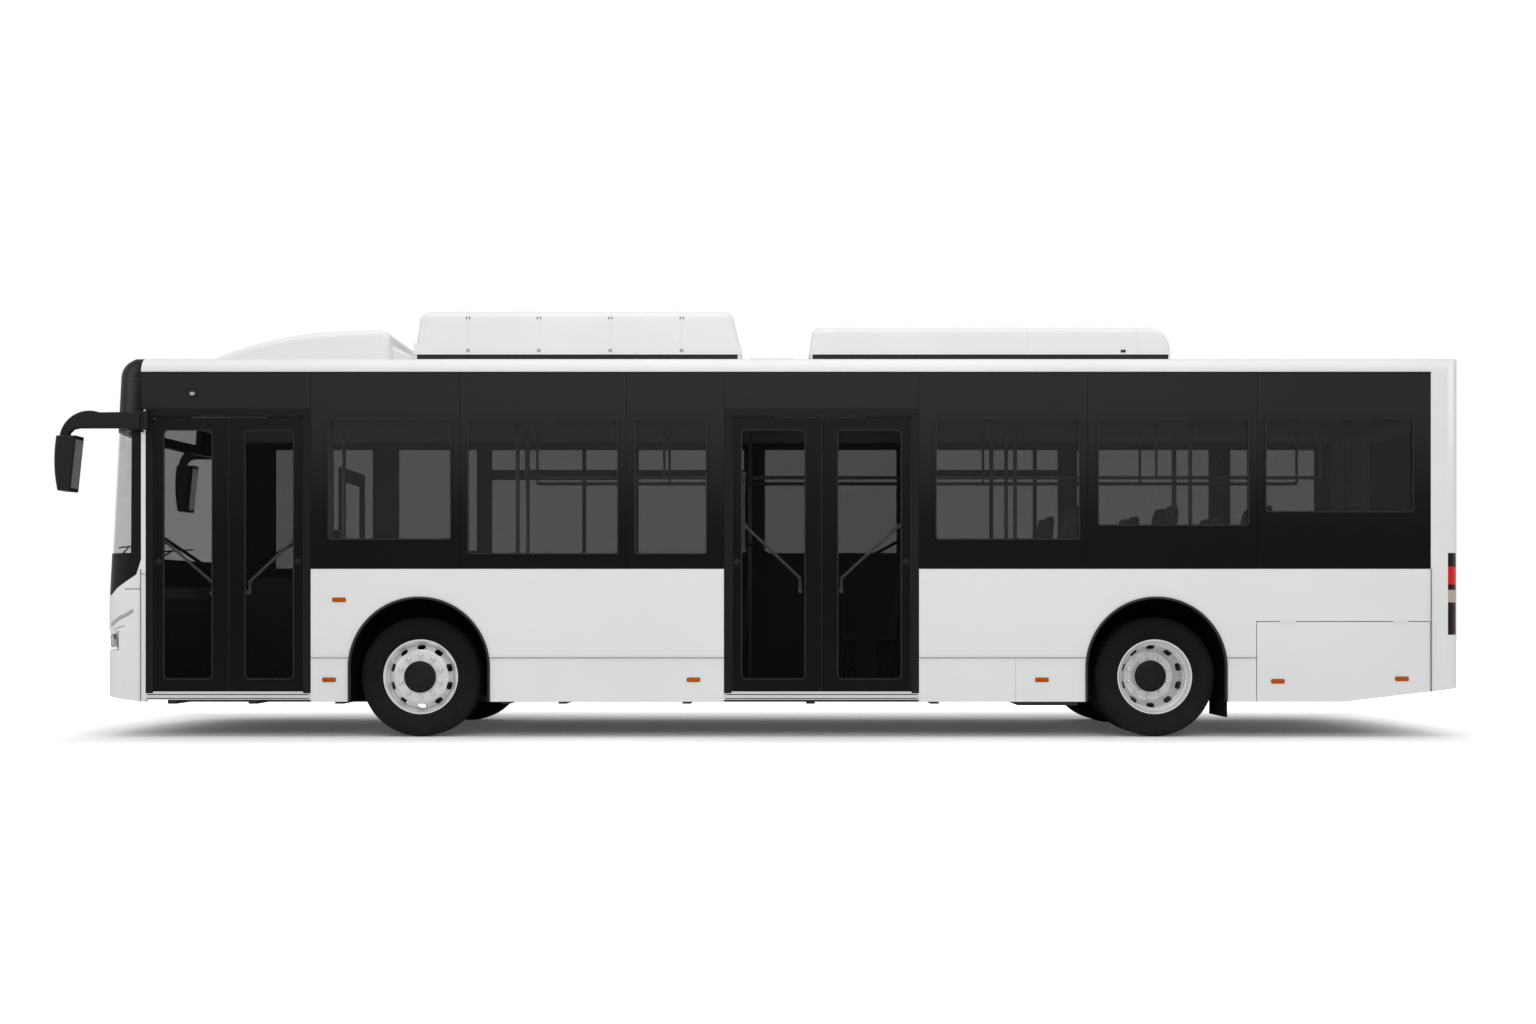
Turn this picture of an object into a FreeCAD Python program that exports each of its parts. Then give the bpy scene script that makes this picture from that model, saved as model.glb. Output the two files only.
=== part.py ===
"""An 11 m low-entry city bus, built as separate solids, in millimetres.

While modelling, x is measured rearwards from the front axle, y towards the driver's side (the doors are on
the -y side) and z up from the road. Every piece is moved along x on export, so that the finished model's
origin lies on the road, under the middle of its bounding box.
"""
import FreeCAD
import Part

import math
import os

V = FreeCAD.Vector

# ---------------------------------------------------------------- driving dimensions
WHEELBASE = 5900.0
FRONT_OVERHANG = 2660.0          # front axle to the bumper's middle
REAR_OVERHANG = 2455.0           # rear axle to the rear face
BODY_WIDTH = 2500.0
WALL = 50.0                      # side wall, roof and end cap thickness
SKIRT_Z = 282.0                  # lower edge of the side skirts
SPLIT_Z = 634.0                  # joint between the skirts and the side panels
WAIST_Z = 1346.0                 # joint between the side panels and the window band
CANT_Z = 2922.0                  # joint between the window band and the roof
ROOF_Z = 3066.0                  # top of the roof, on the centre line
ROOF_EDGE_Z = 3040.0             # where the roof's curved edge meets its shallow crown
PANEL_GAP = 4.0                  # width and depth of the shut lines between neighbouring fixed panels
PANEL_SKIN = 6.0
FLOOR_Z = 350.0                  # low floor, top face
FLOOR_T = 40.0
REAR_FLOOR_Z = 770.0             # raised floor over the rear axle
STEP_X = 4330.0                  # foot of the steps to the raised floor
STEP_DEPTH = 280.0

TYRE_R = 480.0
TYRE_W = 276.0
RIM_R = 300.0                    # outside of the rim flange
RIM_SEAT_R = 286.0
WHEEL_Y = BODY_WIDTH / 2 - 172.0  # centre plane of the outermost tyre
TWIN_PITCH = 312.0               # distance between the two tyres of a rear pair
KINGPIN_Y = WHEEL_Y - 148.0

ARCH_R = 568.0                   # radius of the wheel openings
ARCH_Z = 556.0                   # height of the arches' centre
LINER_GAP = 14.0                 # liner stands this far outside the arch
LINER_T = 16.0

FRONT_SEAM_X = -2224.0           # joint between the front cap and the side walls
SEAM_STRIP_TOP = 2440.0          # top of the white strip between the front cap and the front door
REAR_SEAM_X = WHEELBASE + 2196.0  # joint between the side walls and the rear cap

# doorways: first x, last x of the clear opening
FRONT_DOORWAY = (-2128.0, -928.0)
MIDDLE_DOORWAY = (2500.0, 3940.0)
PORTAL_POST = 60.0               # width of the black post at each side of a doorway
PORTALS = tuple((x0 - PORTAL_POST, x1 + PORTAL_POST) for x0, x1 in (FRONT_DOORWAY, MIDDLE_DOORWAY))
PORTAL_HEAD_Z = 2562.0           # underside of the portal's head
PORTAL_HEAD_H = 64.0
DOOR_BOTTOM_Z = 372.0
DOOR_TOP_Z = 2550.0
DOOR_T = 36.0
DOOR_RECESS = 12.0               # leaf face behind the wall face
DOOR_EDGE_GAP = 10.0             # leaf to portal post
DOOR_MEET_GAP = 10.0             # leaf to leaf
DOOR_STILE = 66.0                # frame width on the post's side of a leaf
DOOR_CLOSING_STILE = 122.0
DOOR_RAIL_H = 88.0
DOOR_POST_R = 16.0
DOOR_POST_SET = 20.0             # turning post's axis, outside the doorway's edge
DOOR_ROLLER_INSET = 22.0         # closing edge to the guide roller
DOOR_ROLLER_R = 10.0
LOWER_ARM = (356.0, 366.0)       # the arms run under and over the leaf: lower and upper z
UPPER_ARM = (2556.0, 2570.0)
TRACK = (2584.0, 2614.0)         # guide track over the leaves
SILL = (298.0, 350.0, 364.0)     # sill: lower z, upper z, top of its outer lip
PIN_R = 9.0
PIN_CLEARANCE = 0.05

FRONT_X = -FRONT_OVERHANG
REAR_X = WHEELBASE + REAR_OVERHANG
HALF = BODY_WIDTH / 2
INNER = HALF - WALL
BEYOND = HALF + 150.0            # outside the body's sides, for cuts that go right across it

# windows in the door side's band: (first x, last x, sill z); the heads are all at WINDOW_TOP_Z
WINDOW_TOP_Z = 2552.0
LEFT_WINDOWS = ((-728, 260, 1578), (388, 1596, 1462), (1724, 2304, 1462), (4132, WHEELBASE - 612, 1578),
                (WHEELBASE - 472, WHEELBASE + 740, 1690), (WHEELBASE + 868, WHEELBASE + 2056, 1798))
# joints between the band's panels on the door side: (first x, last x); doorways hold a head panel only
LEFT_BAND = ((PORTALS[0][1], 324), (324, 1660), (1660, PORTALS[1][0]), (PORTALS[1][1], WHEELBASE - 552),
             (WHEELBASE - 552, WHEELBASE + 808), (WHEELBASE + 808, REAR_SEAM_X))
LEFT_HEADS = ((FRONT_SEAM_X, PORTALS[0][1]), PORTALS[1])
RIGHT_WINDOWS = ((-1900, -960, 1410), (-733, 25, 1578), (148, 1400, 1556), (1535, 2554, 1556),
                 (2734, 3998, 1556), (4205, WHEELBASE - 373, 1556),
                 (WHEELBASE - 212, WHEELBASE + 1057, 1690), (WHEELBASE + 1237, WHEELBASE + 2056, 1798))
RIGHT_BAND = ((FRONT_SEAM_X, -846), (-846, 86), (86, 1468), (1468, 2644), (2644, 4102),
              (4102, WHEELBASE - 292), (WHEELBASE - 292, WHEELBASE + 1147), (WHEELBASE + 1147, REAR_SEAM_X))
WINDOW_R = 22.0
GLASS_T = 8.0
GLASS_INSET = 5.0                # glass face behind the wall face
SEAT_FIT = 0.3                   # gap between a pane and its opening

# side panels below the waist: split into an upper row and a row of skirts
FLAP_X = (WHEELBASE + 804.0, REAR_SEAM_X)    # service flap behind the rear axle
FLAP_TOP_Z = 922.0
FLAP_GAP = 6.0
SKIRT_BREAK_X = WHEELBASE - 1128.0   # joint in the skirt ahead of the rear axle
TAIL_RISE_X = WHEELBASE + 1508.0     # where the skirt starts to rise to the tail
TAIL_RISE_Z = 394.0              # skirt height at the very rear

# rear end
REAR_CORNER_R = 170.0
HATCH = (760.0, 560.0, 1500.0)   # half width, lower z, upper z
HATCH_GAP = 6.0
REAR_WINDOW = (880.0, 1760.0, 2560.0)
TAIL_LAMP = (818.0, 1474.0)      # lower and upper z

# hinges on the upper edges of the service flap and the engine hatch
HINGE_R = 6.5
HINGE_PIN_R = 3.0
HINGE_OUT = 7.0                  # pin axis in front of the wall's face
HINGE_LEAF_T = 3.0
HINGE_LEAF_H = 36.0
HINGE_KNUCKLE = 30.0
FLAP_HINGE_X = (WHEELBASE + 1050.0, WHEELBASE + 1950.0)
HATCH_HINGE_Y = 520.0

# roof equipment: first x, last x, half width, top z
FAIRING = (-1850.0, -330.0, 800.0, 3336.0)
ROOF_PACK = (-140.0, 2576.0, 860.0, 3484.0)
ROOF_AIRCON = (3126.0, WHEELBASE + 216.0, 860.0, 3348.0)
HATCH_LID = (2625.0, 3010.0, 330.0, 3176.0)
HATCH_PANEL = 40.0               # the hatch's roof panels reach this far ahead of and behind the lid
LID_FIT = 0.3                    # lids and roof units stand this far off what they rest on
LID_HINGE_OUT = 18.0             # the hatch's hinge pins stand this far ahead of it
LID_HINGE_Z = 3106.0
LID_PIN_R = 4.0
LID_LUG_R = 9.0
COVER_Z = 3122.0                 # lower edge of the roof units' covers
PLINTH_SET = 14.0                # the units' feet are narrower than their covers
PACK_STEP_Z = 3213.0             # where the pack's cover steps in above its skirt
PACK_SEAMS = (319.0, 903.0, 1491.0, 2078.0)
AIRCON_SEAMS = (WHEELBASE - 980.0, WHEELBASE - 67.0)
SEAM_DEPTH = 3.0
MIRROR_X = -2846.0               # foremost point of the mirrors
MIRROR_OUT = 190.0               # outermost point of the mirrors, out from the wall
MIRROR_HEAD_W = 204.0
MIRROR_ARM_OUT = (106.0, 54.0)   # the arm's outer and inner face, out from the wall
# the arm and the head in side view; an item of two points is an arc through the first to the second
MIRROR_ARM = [(-2200, 2592), (-2520, 2588), ((-2771, 2530), (MIRROR_X + 6, 2376)), (-2768, 2376),
              (-2754, 2420), (-2724, 2450), (-2680, 2460), (-2200, 2460)]
MIRROR_HEAD = [(-2678, 2396), (MIRROR_X + 16, 2396), ((MIRROR_X, 2180), (MIRROR_X + 24, 1962)),
               (-2724, 1954)]
MIRROR_FOOT = (-2276, -2146, 2456, 2602)
MIRROR_FOOT_OUT = 80.0

ORIGIN_X = (MIRROR_X + REAR_X + HINGE_OUT + HINGE_R) / 2


# ---------------------------------------------------------------- shape helpers
def box(x0, x1, y0, y1, z0, z1):
    """A block between two corners."""
    return Part.makeBox(x1 - x0, y1 - y0, z1 - z0, V(x0, y0, z0))


def wire(points):
    """A closed wire; each item is a point, or a pair (mid, end) that makes an arc from the last point."""
    edges = []
    last = points[0]
    for item in list(points[1:]) + [points[0]]:
        if isinstance(item[0], tuple):
            mid, end = item
            edges.append(Part.Arc(V(*last), V(*mid), V(*end)).toShape())
            last = end
        elif V(*last).distanceToPoint(V(*item)) > 1e-6:
            edges.append(Part.LineSegment(V(*last), V(*item)).toShape())
            last = item
    return Part.Wire(edges)


def lift(item, place):
    """Puts a 2-D outline item, a point or an arc's (mid, end) pair, into space."""
    if isinstance(item[0], tuple):
        return tuple(place(*p) for p in item)
    return place(*item)


def side_prism(outline, y0, y1):
    """An outline in x and z, carried across the bus from y0 to y1."""
    face = Part.Face(wire([lift(p, lambda x, z: (x, y0, z)) for p in outline]))
    return face.extrude(V(0, y1 - y0, 0))


def cross_prism(outline, x0, x1):
    """An outline in y and z, carried along the bus from x0 to x1."""
    face = Part.Face(wire([lift(p, lambda y, z: (x0, y, z)) for p in outline]))
    return face.extrude(V(x1 - x0, 0, 0))


def plan_prism(outline, z0, z1):
    """An outline in x and y, carried up from z0 to z1."""
    face = Part.Face(wire([lift(p, lambda x, y: (x, y, z0)) for p in outline]))
    return face.extrude(V(0, 0, z1 - z0))


def rounded(x0, x1, z0, z1, r):
    """A rounded rectangle as an outline of lines and arcs."""
    k = r * (1 - math.sqrt(0.5))
    return [(x0 + r, z0), (x1 - r, z0), ((x1 - k, z0 + k), (x1, z0 + r)), (x1, z1 - r),
            ((x1 - k, z1 - k), (x1 - r, z1)), (x0 + r, z1), ((x0 + k, z1 - k), (x0, z1 - r)),
            (x0, z0 + r), ((x0 + k, z0 + k), (x0 + r, z0))]


def arch(x, r, z0):
    """A wheel opening: a half circle at ARCH_Z on legs that reach down to z0."""
    return [(x - r, z0), (x + r, z0), (x + r, ARCH_Z), ((x, ARCH_Z + r), (x - r, ARCH_Z))]


def rod(start, end, r):
    """A round bar between two points."""
    a, b = V(*start), V(*end)
    return Part.makeCylinder(r, (b - a).Length, a, b - a)


def spun(profile, x, y, z):
    """A profile of (radius, distance outward) points, spun about the wheel axis through (x, z)."""
    face = Part.Face(wire([lift(p, lambda r, d: (0, d, r)) for p in profile]))
    solid = face.revolve(V(0, 0, 0), V(0, 1, 0), 360)
    solid.translate(V(x, y, z))
    return solid


def mirrored(shape):
    """The same piece on the other side of the bus."""
    return shape.mirror(V(0, 0, 0), V(0, 1, 0))


def fused(shapes):
    """Joins overlapping shapes and drops the seams between their flush faces."""
    return shapes[0].fuse(shapes[1:]).removeSplitter()


def edges_between(shape, y0, y1):
    """The edges of a side prism's two outlines."""
    flat = [e for e in shape.Edges if e.BoundBox.YLength < 1]
    return [e for e in flat if min(abs(e.BoundBox.YMin - y) for y in (y0, y1)) < 1]


def bent_rod(points, r, bend):
    """A round bar through several points, with a smooth bend at each middle one."""
    pts = [V(*p) for p in points]
    edges, last = [], pts[0]
    for before, corner, after in zip(pts, pts[1:], pts[2:]):
        back = (before - corner).normalize()
        on = (after - corner).normalize()
        half_angle = back.getAngle(on) / 2
        reach = bend / math.tan(half_angle)
        start, end = corner + back * reach, corner + on * reach
        middle = corner + (back + on).normalize() * (bend / math.sin(half_angle) - bend)
        edges.append(Part.LineSegment(last, start).toShape())
        edges.append(Part.Arc(start, middle, end).toShape())
        last = end
    edges.append(Part.LineSegment(last, pts[-1]).toShape())
    path = Part.Wire(edges)
    ring = Part.Wire([Part.Circle(pts[0], pts[1] - pts[0], r).toShape()])
    return path.makePipeShell([ring], True, True)


def export(name, solids):
    """Writes one node, moved so that the origin is under the middle of the bus."""
    parts = []
    for shape in solids:
        parts.extend(shape.Solids)
    node = Part.makeCompound(parts)
    node.translate(V(-ORIGIN_X, 0, 0))
    node.exportStep("parts/" + name + ".step")
    print(name, len(parts), "solids", round(sum(s.Volume for s in parts) / 1e9, 4), "m3",
          "valid" if all(s.isValid() for s in parts) else "INVALID")


# ---------------------------------------------------------------- body shell
def hull_outline(inset):
    """The body's cross-section: straight sides, curved roof edges and a shallow crown."""
    y, edge, crown = HALF - inset, ROOF_EDGE_Z - inset, ROOF_Z - inset
    r = edge - CANT_Z
    k = r * (1 - math.sqrt(0.5))
    return [(-y, SKIRT_Z - 100), (y, SKIRT_Z - 100), (y, CANT_Z), ((y - k, edge - k), (y - r, edge)),
            ((0, crown), (-y + r, edge)), ((-y + k, edge - k), (-y, CANT_Z))]


def hull(inset, x0, x1):
    """The body's outer form, or with an inset its inner form, between two stations."""
    return cross_prism(hull_outline(inset), x0, x1)


# front cap in plan at one level: a shallow arc across the front and a round corner at each side
FRONT_ARC_Y = HALF - 270.0
FRONT_ARC_SAG = 90.0
FRONT_CORNER_X = 324.0           # length of the corner curve behind the front arc
# (z, how far the front leans back): the flat part, and the rounded brow above it
FRONT_LEVELS = ((200.0, 0.0), (1100.0, 0.0), (2880.0, 93.0))
BROW_LEVELS = ((2880.0, 93.0), (2950.0, 104.0), (3010.0, 147.0), (3050.0, 235.0), (3078.0, 345.0))


def front_wire(z, lean, inset):
    """The front cap's outline at one level, open side squared off behind the seam."""
    nose = FRONT_X + lean + inset
    shoulder_x, shoulder_y = nose + FRONT_ARC_SAG, FRONT_ARC_Y - inset * 0.6
    side_y, side_x = HALF - inset, FRONT_X + FRONT_ARC_SAG + FRONT_CORNER_X + lean
    r = side_y - shoulder_y
    mid_x, mid_y = side_x - (side_x - shoulder_x) * 0.74, shoulder_y + r * 0.66
    back = FRONT_SEAM_X + 400
    outline = [(back, -side_y), (side_x, -side_y), ((mid_x, -mid_y), (shoulder_x, -shoulder_y)),
               ((nose, 0), (shoulder_x, shoulder_y)), ((mid_x, mid_y), (side_x, side_y)), (back, side_y)]
    return wire([lift(p, lambda x, y: (x, y, z)) for p in outline])


def front_form(inset):
    """The front cap's solid form, leaning back above the bumper and rounded off at the roof."""
    brow_z, top_z = BROW_LEVELS[0][0], BROW_LEVELS[-1][0]
    drop = inset / (top_z - brow_z)
    face = Part.makeLoft([front_wire(z, lean, inset) for z, lean in FRONT_LEVELS], True, True)
    sections = [front_wire(z - (z - brow_z) * drop, lean, inset) for z, lean in BROW_LEVELS]
    brow = Part.makeLoft(sections, True, False)
    return fused([face, brow]).common(hull(inset, FRONT_X - 100, FRONT_SEAM_X))


# black area of the front in side view: lower edge sweeps up from the nose to the corner pillar
FRONT_BLACK_EDGE = [(FRONT_X - 50, 1120.0), (-2500.0, 1140.0), (-2430.0, 1196.0), (-2330.0, 1256.0),
                    (-2262.0, 1300.0), (FRONT_SEAM_X, 1420.0)]
SCREEN = (1474.0, 2458.0)        # clear area of the windscreen, lower and upper z
SCREEN_BACK_X = -2306.0          # the windscreen's rear edge where it wraps round the corner
DISPLAY = (2540.0, 2840.0, 860.0)  # destination display: lower z, upper z, half width
FRONT_LIFT = 60.0                # the mask's lower edge rises this much at the nose
LAMP = (-2700.0, -2415.0, 690.0, 850.0)  # headlamp opening in side view
LAMP_Y = 760.0                   # the headlamps start this far from the centre line


def front_pieces():
    """The white mask, the black surround, the screen and the display glass."""
    shell = front_form(0).cut(front_form(WALL))
    lower_side = [(FRONT_SEAM_X, SKIRT_Z), (FRONT_X - 50, SKIRT_Z + FRONT_LIFT)]
    upper_side = [(FRONT_SEAM_X, 3300), (FRONT_X - 50, 3300)]
    below = side_prism(FRONT_BLACK_EDGE + lower_side, -BEYOND, BEYOND)
    above = side_prism(FRONT_BLACK_EDGE + upper_side, -BEYOND, BEYOND)
    screen_hole = box(FRONT_X - 50, SCREEN_BACK_X, -BEYOND, BEYOND, *SCREEN)
    display_hole = box(FRONT_X - 50, FRONT_SEAM_X, -DISPLAY[2], DISPLAY[2], DISPLAY[0], DISPLAY[1])
    lamp_hole = box(LAMP[0], LAMP[1], LAMP_Y, BEYOND, LAMP[2], LAMP[3])
    lamp_holes = lamp_hole.fuse(mirrored(lamp_hole))
    mask = shell.common(below).cut(lamp_holes)
    surround = shell.common(above).cut(screen_hole).cut(display_hole)
    pane = front_form(GLASS_INSET).cut(front_form(GLASS_INSET + GLASS_T))
    fit = SEAT_FIT
    z0, z1 = SCREEN
    screen = pane.common(box(FRONT_X - 50, SCREEN_BACK_X - fit, -BEYOND, BEYOND, z0 + fit, z1 - fit))
    display = pane.common(box(FRONT_X - 50, FRONT_SEAM_X, fit - DISPLAY[2], DISPLAY[2] - fit,
                              DISPLAY[0] + fit, DISPLAY[1] - fit))
    lamp_block = front_form(GLASS_INSET).cut(front_form(WALL))
    lamp = lamp_block.common(box(LAMP[0], LAMP[1] - fit, LAMP_Y + fit, BEYOND, LAMP[2] + fit, LAMP[3] - fit))
    export("front_mask", [mask])
    export("front_surround", [surround])
    export("windscreen", [screen, display])
    export("headlamps", [lamp, mirrored(lamp)])


def rear_form(inset):
    """The rear cap's solid form: round corners and a flat face."""
    x, y, r = REAR_X - inset, HALF - inset, REAR_CORNER_R - inset
    k = r * (1 - math.sqrt(0.5))
    start = REAR_SEAM_X - 100
    outline = [(start, -y), (x - r, -y), ((x - k, -y + k), (x, -y + r)), (x, y - r),
               ((x - k, y - k), (x - r, y)), (start, y)]
    return plan_prism(outline, SKIRT_Z, 3300).common(hull(inset, REAR_SEAM_X, REAR_X + 100))


def tail_z(x):
    """Height of the skirt's lower edge behind TAIL_RISE_X."""
    return SKIRT_Z + (TAIL_RISE_Z - SKIRT_Z) * (x - TAIL_RISE_X) / (REAR_X - TAIL_RISE_X)


def rear_pieces():
    """The rear cap with its window, engine hatch and tail lamps."""
    shell = rear_form(0).cut(rear_form(WALL))
    under = side_prism([(REAR_SEAM_X, SKIRT_Z - 50), (REAR_X + 50, SKIRT_Z - 50),
                        (REAR_X + 50, tail_z(REAR_X + 50)), (REAR_SEAM_X, tail_z(REAR_SEAM_X))],
                       -BEYOND, BEYOND)
    half, low, high = HATCH
    g = HATCH_GAP
    hatch_hole = box(REAR_X - 200, REAR_X + 50, -half - g, half + g, low - g, high + g)
    w_half, w_low, w_high = REAR_WINDOW
    opening = rounded(-w_half, w_half, w_low, w_high, WINDOW_R * 2)
    window_hole = cross_prism(opening, REAR_X - 200, REAR_X + 50)
    lamp_hole = box(REAR_X - 120, REAR_X + 50, HALF - 120, HALF + 50, *TAIL_LAMP)
    lamps = lamp_hole.fuse(mirrored(lamp_hole))
    fixed_knuckles, moving_knuckles = hatch_hinges()
    cap = fused([shell.cut(under).cut(hatch_hole).cut(window_hole).cut(lamps)] + fixed_knuckles)
    fit = SEAT_FIT
    lamp = rear_form(GLASS_INSET).cut(rear_form(WALL))
    lamp = lamp.common(box(REAR_X - 120 + fit, REAR_X + 50, HALF - 120 + fit, HALF + 50,
                           TAIL_LAMP[0] + fit, TAIL_LAMP[1] - fit))
    export("rear_cap", [cap])
    export("tail_lamps", [lamp, mirrored(lamp)])
    leaf = box(REAR_X - WALL, REAR_X, -half, half, low, high)
    handle = box(REAR_X - 12, REAR_X + 1, -120, 120, low + 60, low + 100)
    export("engine_hatch", [fused([leaf.cut(handle)] + moving_knuckles)])


def hinge(at, along, out, up):
    """One butt hinge on a flap's upper edge: the fixed part with its pin, and the flap's part.

    The pin's centre is at the point `at`, along is the pin's direction, out points away from the wall.
    """
    at, along, out, up = V(*at), V(*along), V(*out), V(*up)

    def knuckle(a, b, r):
        return Part.makeCylinder(r, b - a, at + along * a, along)

    def plate(a, b, low, high):
        corners = [at + along * a + out * (HINGE_LEAF_T - HINGE_OUT) + up * low]
        for step in (up * (high - low), along * (b - a), up * (low - high)):
            corners.append(corners[-1] + step)
        return Part.Face(Part.makePolygon(corners + [corners[0]])).extrude(out * -HINGE_LEAF_T)

    w = HINGE_KNUCKLE
    bore = knuckle(-2 * w, 2 * w, HINGE_PIN_R + PIN_CLEARANCE)
    fixed = [knuckle(-2 * w, 2 * w, HINGE_PIN_R)]
    for a, b in ((-2 * w, -w - 0.5), (w + 0.5, 2 * w)):
        fixed += [knuckle(a, b, HINGE_R), plate(a, b, 0, HINGE_LEAF_H)]
    moving = [knuckle(-w, w, HINGE_R).cut(bore), plate(-w, w, -HINGE_LEAF_H, 0).cut(bore)]
    return fused(fixed), fused(moving)


def flap_hinges():
    """The service flap's hinges as lists of fixed and moving pieces."""
    z = FLAP_TOP_Z + FLAP_GAP / 2
    pairs = [hinge((x, -HALF - HINGE_OUT, z), (1, 0, 0), (0, -1, 0), (0, 0, 1)) for x in FLAP_HINGE_X]
    return [fixed for fixed, _ in pairs], [moving for _, moving in pairs]


def hatch_hinges():
    """The engine hatch's hinges as lists of fixed and moving pieces."""
    z = HATCH[2] + HATCH_GAP / 2
    places = [(REAR_X + HINGE_OUT, s * HATCH_HINGE_Y, z) for s in (-1, 1)]
    pairs = [hinge(place, (0, 1, 0), (1, 0, 0), (0, 0, 1)) for place in places]
    return [fixed for fixed, _ in pairs], [moving for _, moving in pairs]


def roof_pieces():
    """The roof skin with its emergency hatch opening, and everything that stands on it."""
    skin = hull(0, FRONT_SEAM_X, REAR_SEAM_X).cut(hull(WALL, FRONT_SEAM_X, REAR_SEAM_X))
    skin = skin.common(box(FRONT_SEAM_X, REAR_SEAM_X, -HALF, HALF, CANT_Z, 3300))
    x0, x1, half, top = HATCH_LID
    frame = 40.0
    seat_z = ROOF_Z + 8
    hole = box(x0 + frame, x1 - frame, -half + frame, half - frame, CANT_Z, 3300)
    curb = box(x0 + 10, x1 - 10, -half + 10, half - 10, ROOF_Z - WALL, seat_z)
    lid = box(x0, x1, -half, half, seat_z + LID_FIT, top)
    lid = lid.makeFillet(24, [e for e in lid.Edges if e.BoundBox.ZMax > top - 1])
    pocket = box(x0 + frame, x1 - frame, -half + frame, half - frame, seat_z, top - 30)
    cheeks, lugs = lid_hinges()
    joints = (FRONT_SEAM_X, x0 - HATCH_PANEL, x1 + HATCH_PANEL, REAR_SEAM_X)
    spans = [box(a, b, -HALF, HALF, CANT_Z, 3300) for a, b in zip(joints, joints[1:])]
    front, panel, rear = [skin.common(span) for span in spans]
    panel = fused([panel, curb]).cut(hole).fuse(cheeks)
    side = half - frame
    strips = [panel.common(box(joints[1], joints[2], a, b, CANT_Z, 3300))
              for a, b in ((-HALF, -side), (-side, side), (side, HALF))]
    export("roof_skin", [front, rear] + strips)
    export("roof_hatch", [fused([lid.cut(pocket)] + lugs)])
    fx0, fx1, fhalf, ftop = FAIRING
    base = ROOF_EDGE_Z - 10
    slope = [(fx0, base), (fx0, base + 50), ((fx0 + 480, ftop - 92), (fx0 + 1010, ftop - 16)),
             (fx0 + 1250, ftop), (fx1 - 90, ftop), ((fx1 - 34, ftop - 22), (fx1 - 12, ftop - 80)),
             (fx1, base)]
    tail = [(fx1 - 200, base), (fx1 - 200, base + 190), (fx1 - 4, base + 190), (fx1 + 178, base + 100),
            (fx1 + 190, base)]
    fairing = fused([roof_cover(slope, fhalf, 60), roof_cover(tail, fhalf - 90, 40)])
    export("roof_fairing", [fairing.cut(outside_of_roof())])
    px0, px1, phalf, ptop = ROOF_PACK
    skirt = [(px0 + 8, COVER_Z), (px0 + 16, PACK_STEP_Z), (px1 - 16, PACK_STEP_Z), (px1 - 8, COVER_Z)]
    pack = [(px0 + 22, PACK_STEP_Z - 1), (px0 + 48, ptop - 96), ((px0 + 70, ptop - 30), (px0 + 130, ptop)),
            (px1 - 150, ptop), ((px1 - 94, ptop - 26), (px1 - 68, ptop - 80)), (px1 - 22, PACK_STEP_Z - 1)]
    cover = fused([side_prism(skirt, -phalf, phalf), roof_cover(pack, phalf - 12, 74)])
    grooves = [cover_seam(x, phalf - 12, ptop, 74, PACK_STEP_Z) for x in PACK_SEAMS]
    export("roof_pack_cover", [fused([cover.cut(grooves), plinth(px0, px1, phalf)])])
    ax0, ax1, ahalf, atop = ROOF_AIRCON
    aircon = [(ax0, COVER_Z), (ax0 + 26, atop - 40), (ax0 + 66, atop), (ax1 - 200, atop),
              ((ax1 - 62, atop - 52), (ax1 - 10, atop - 190)), (ax1, COVER_Z)]
    grooves = [cover_seam(x, ahalf, atop, 60, COVER_Z) for x in AIRCON_SEAMS]
    export("roof_air_conditioner", [fused([roof_cover(aircon, ahalf, 60).cut(grooves),
                                           plinth(ax0, ax1, ahalf)])])


def roof_cover(outline, half, r):
    """A unit's cover: a side outline as wide as the unit, with its edges rounded above the roof."""
    cover = side_prism(outline, -half, half)
    low = cover.BoundBox.ZMin + 1
    edges = [e for e in edges_between(cover, -half, half) if e.BoundBox.ZMax > low]
    return cover.makeFillet(r, edges)


def cover_seam(x, half, top, r, z0):
    """The material that a shut line takes from a cover at one station."""
    core = box(x - 20, x + 20, -half + SEAM_DEPTH, half - SEAM_DEPTH, z0 - 40, top - SEAM_DEPTH)
    crosswise = [e for e in core.Edges if e.BoundBox.YLength < 1 and e.BoundBox.ZMin > top - 10]
    core = core.makeFillet(r, crosswise)
    return box(x - 2, x + 2, -half - 5, half + 5, z0, top + 5).cut(core)


def plinth(x0, x1, half):
    """The narrower foot between a unit's cover and the roof."""
    y = half - PLINTH_SET
    foot = box(x0 + PLINTH_SET, x1 - PLINTH_SET, -y, y, ROOF_EDGE_Z - 10, COVER_Z + 1)
    return foot.cut(outside_of_roof())


def lid_hinges():
    """The roof hatch's hinges ahead of its front edge: fixed cheeks with their pins, and the lid's lugs."""
    x0 = HATCH_LID[0]
    x, z, r = x0 - LID_HINGE_OUT, LID_HINGE_Z, LID_LUG_R
    cheeks, lugs = [], []
    for y in (-200, 200):
        cheeks.append(rod((x, y - 40, z), (x, y + 40, z), LID_PIN_R))
        for a, b in ((y - 40, y - 17), (y + 17, y + 40)):
            cheeks.append(fused([box(x - r, x + r, a, b, ROOF_Z - 20, z), rod((x, a, z), (x, b, z), r)]))
        bore = rod((x, y - 20, z), (x, y + 20, z), LID_PIN_R + PIN_CLEARANCE)
        lug = fused([box(x, x0 + 5, y - 16, y + 16, z - r, z + r), rod((x, y - 16, z), (x, y + 16, z), r)])
        lugs.append(lug.cut(bore))
    return cheeks, lugs


def outside_of_roof():
    """The space under the roof's outer surface, to seat the roof units on its crown."""
    return hull(-LID_FIT, FRONT_SEAM_X - 100, REAR_SEAM_X + 100)


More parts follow.
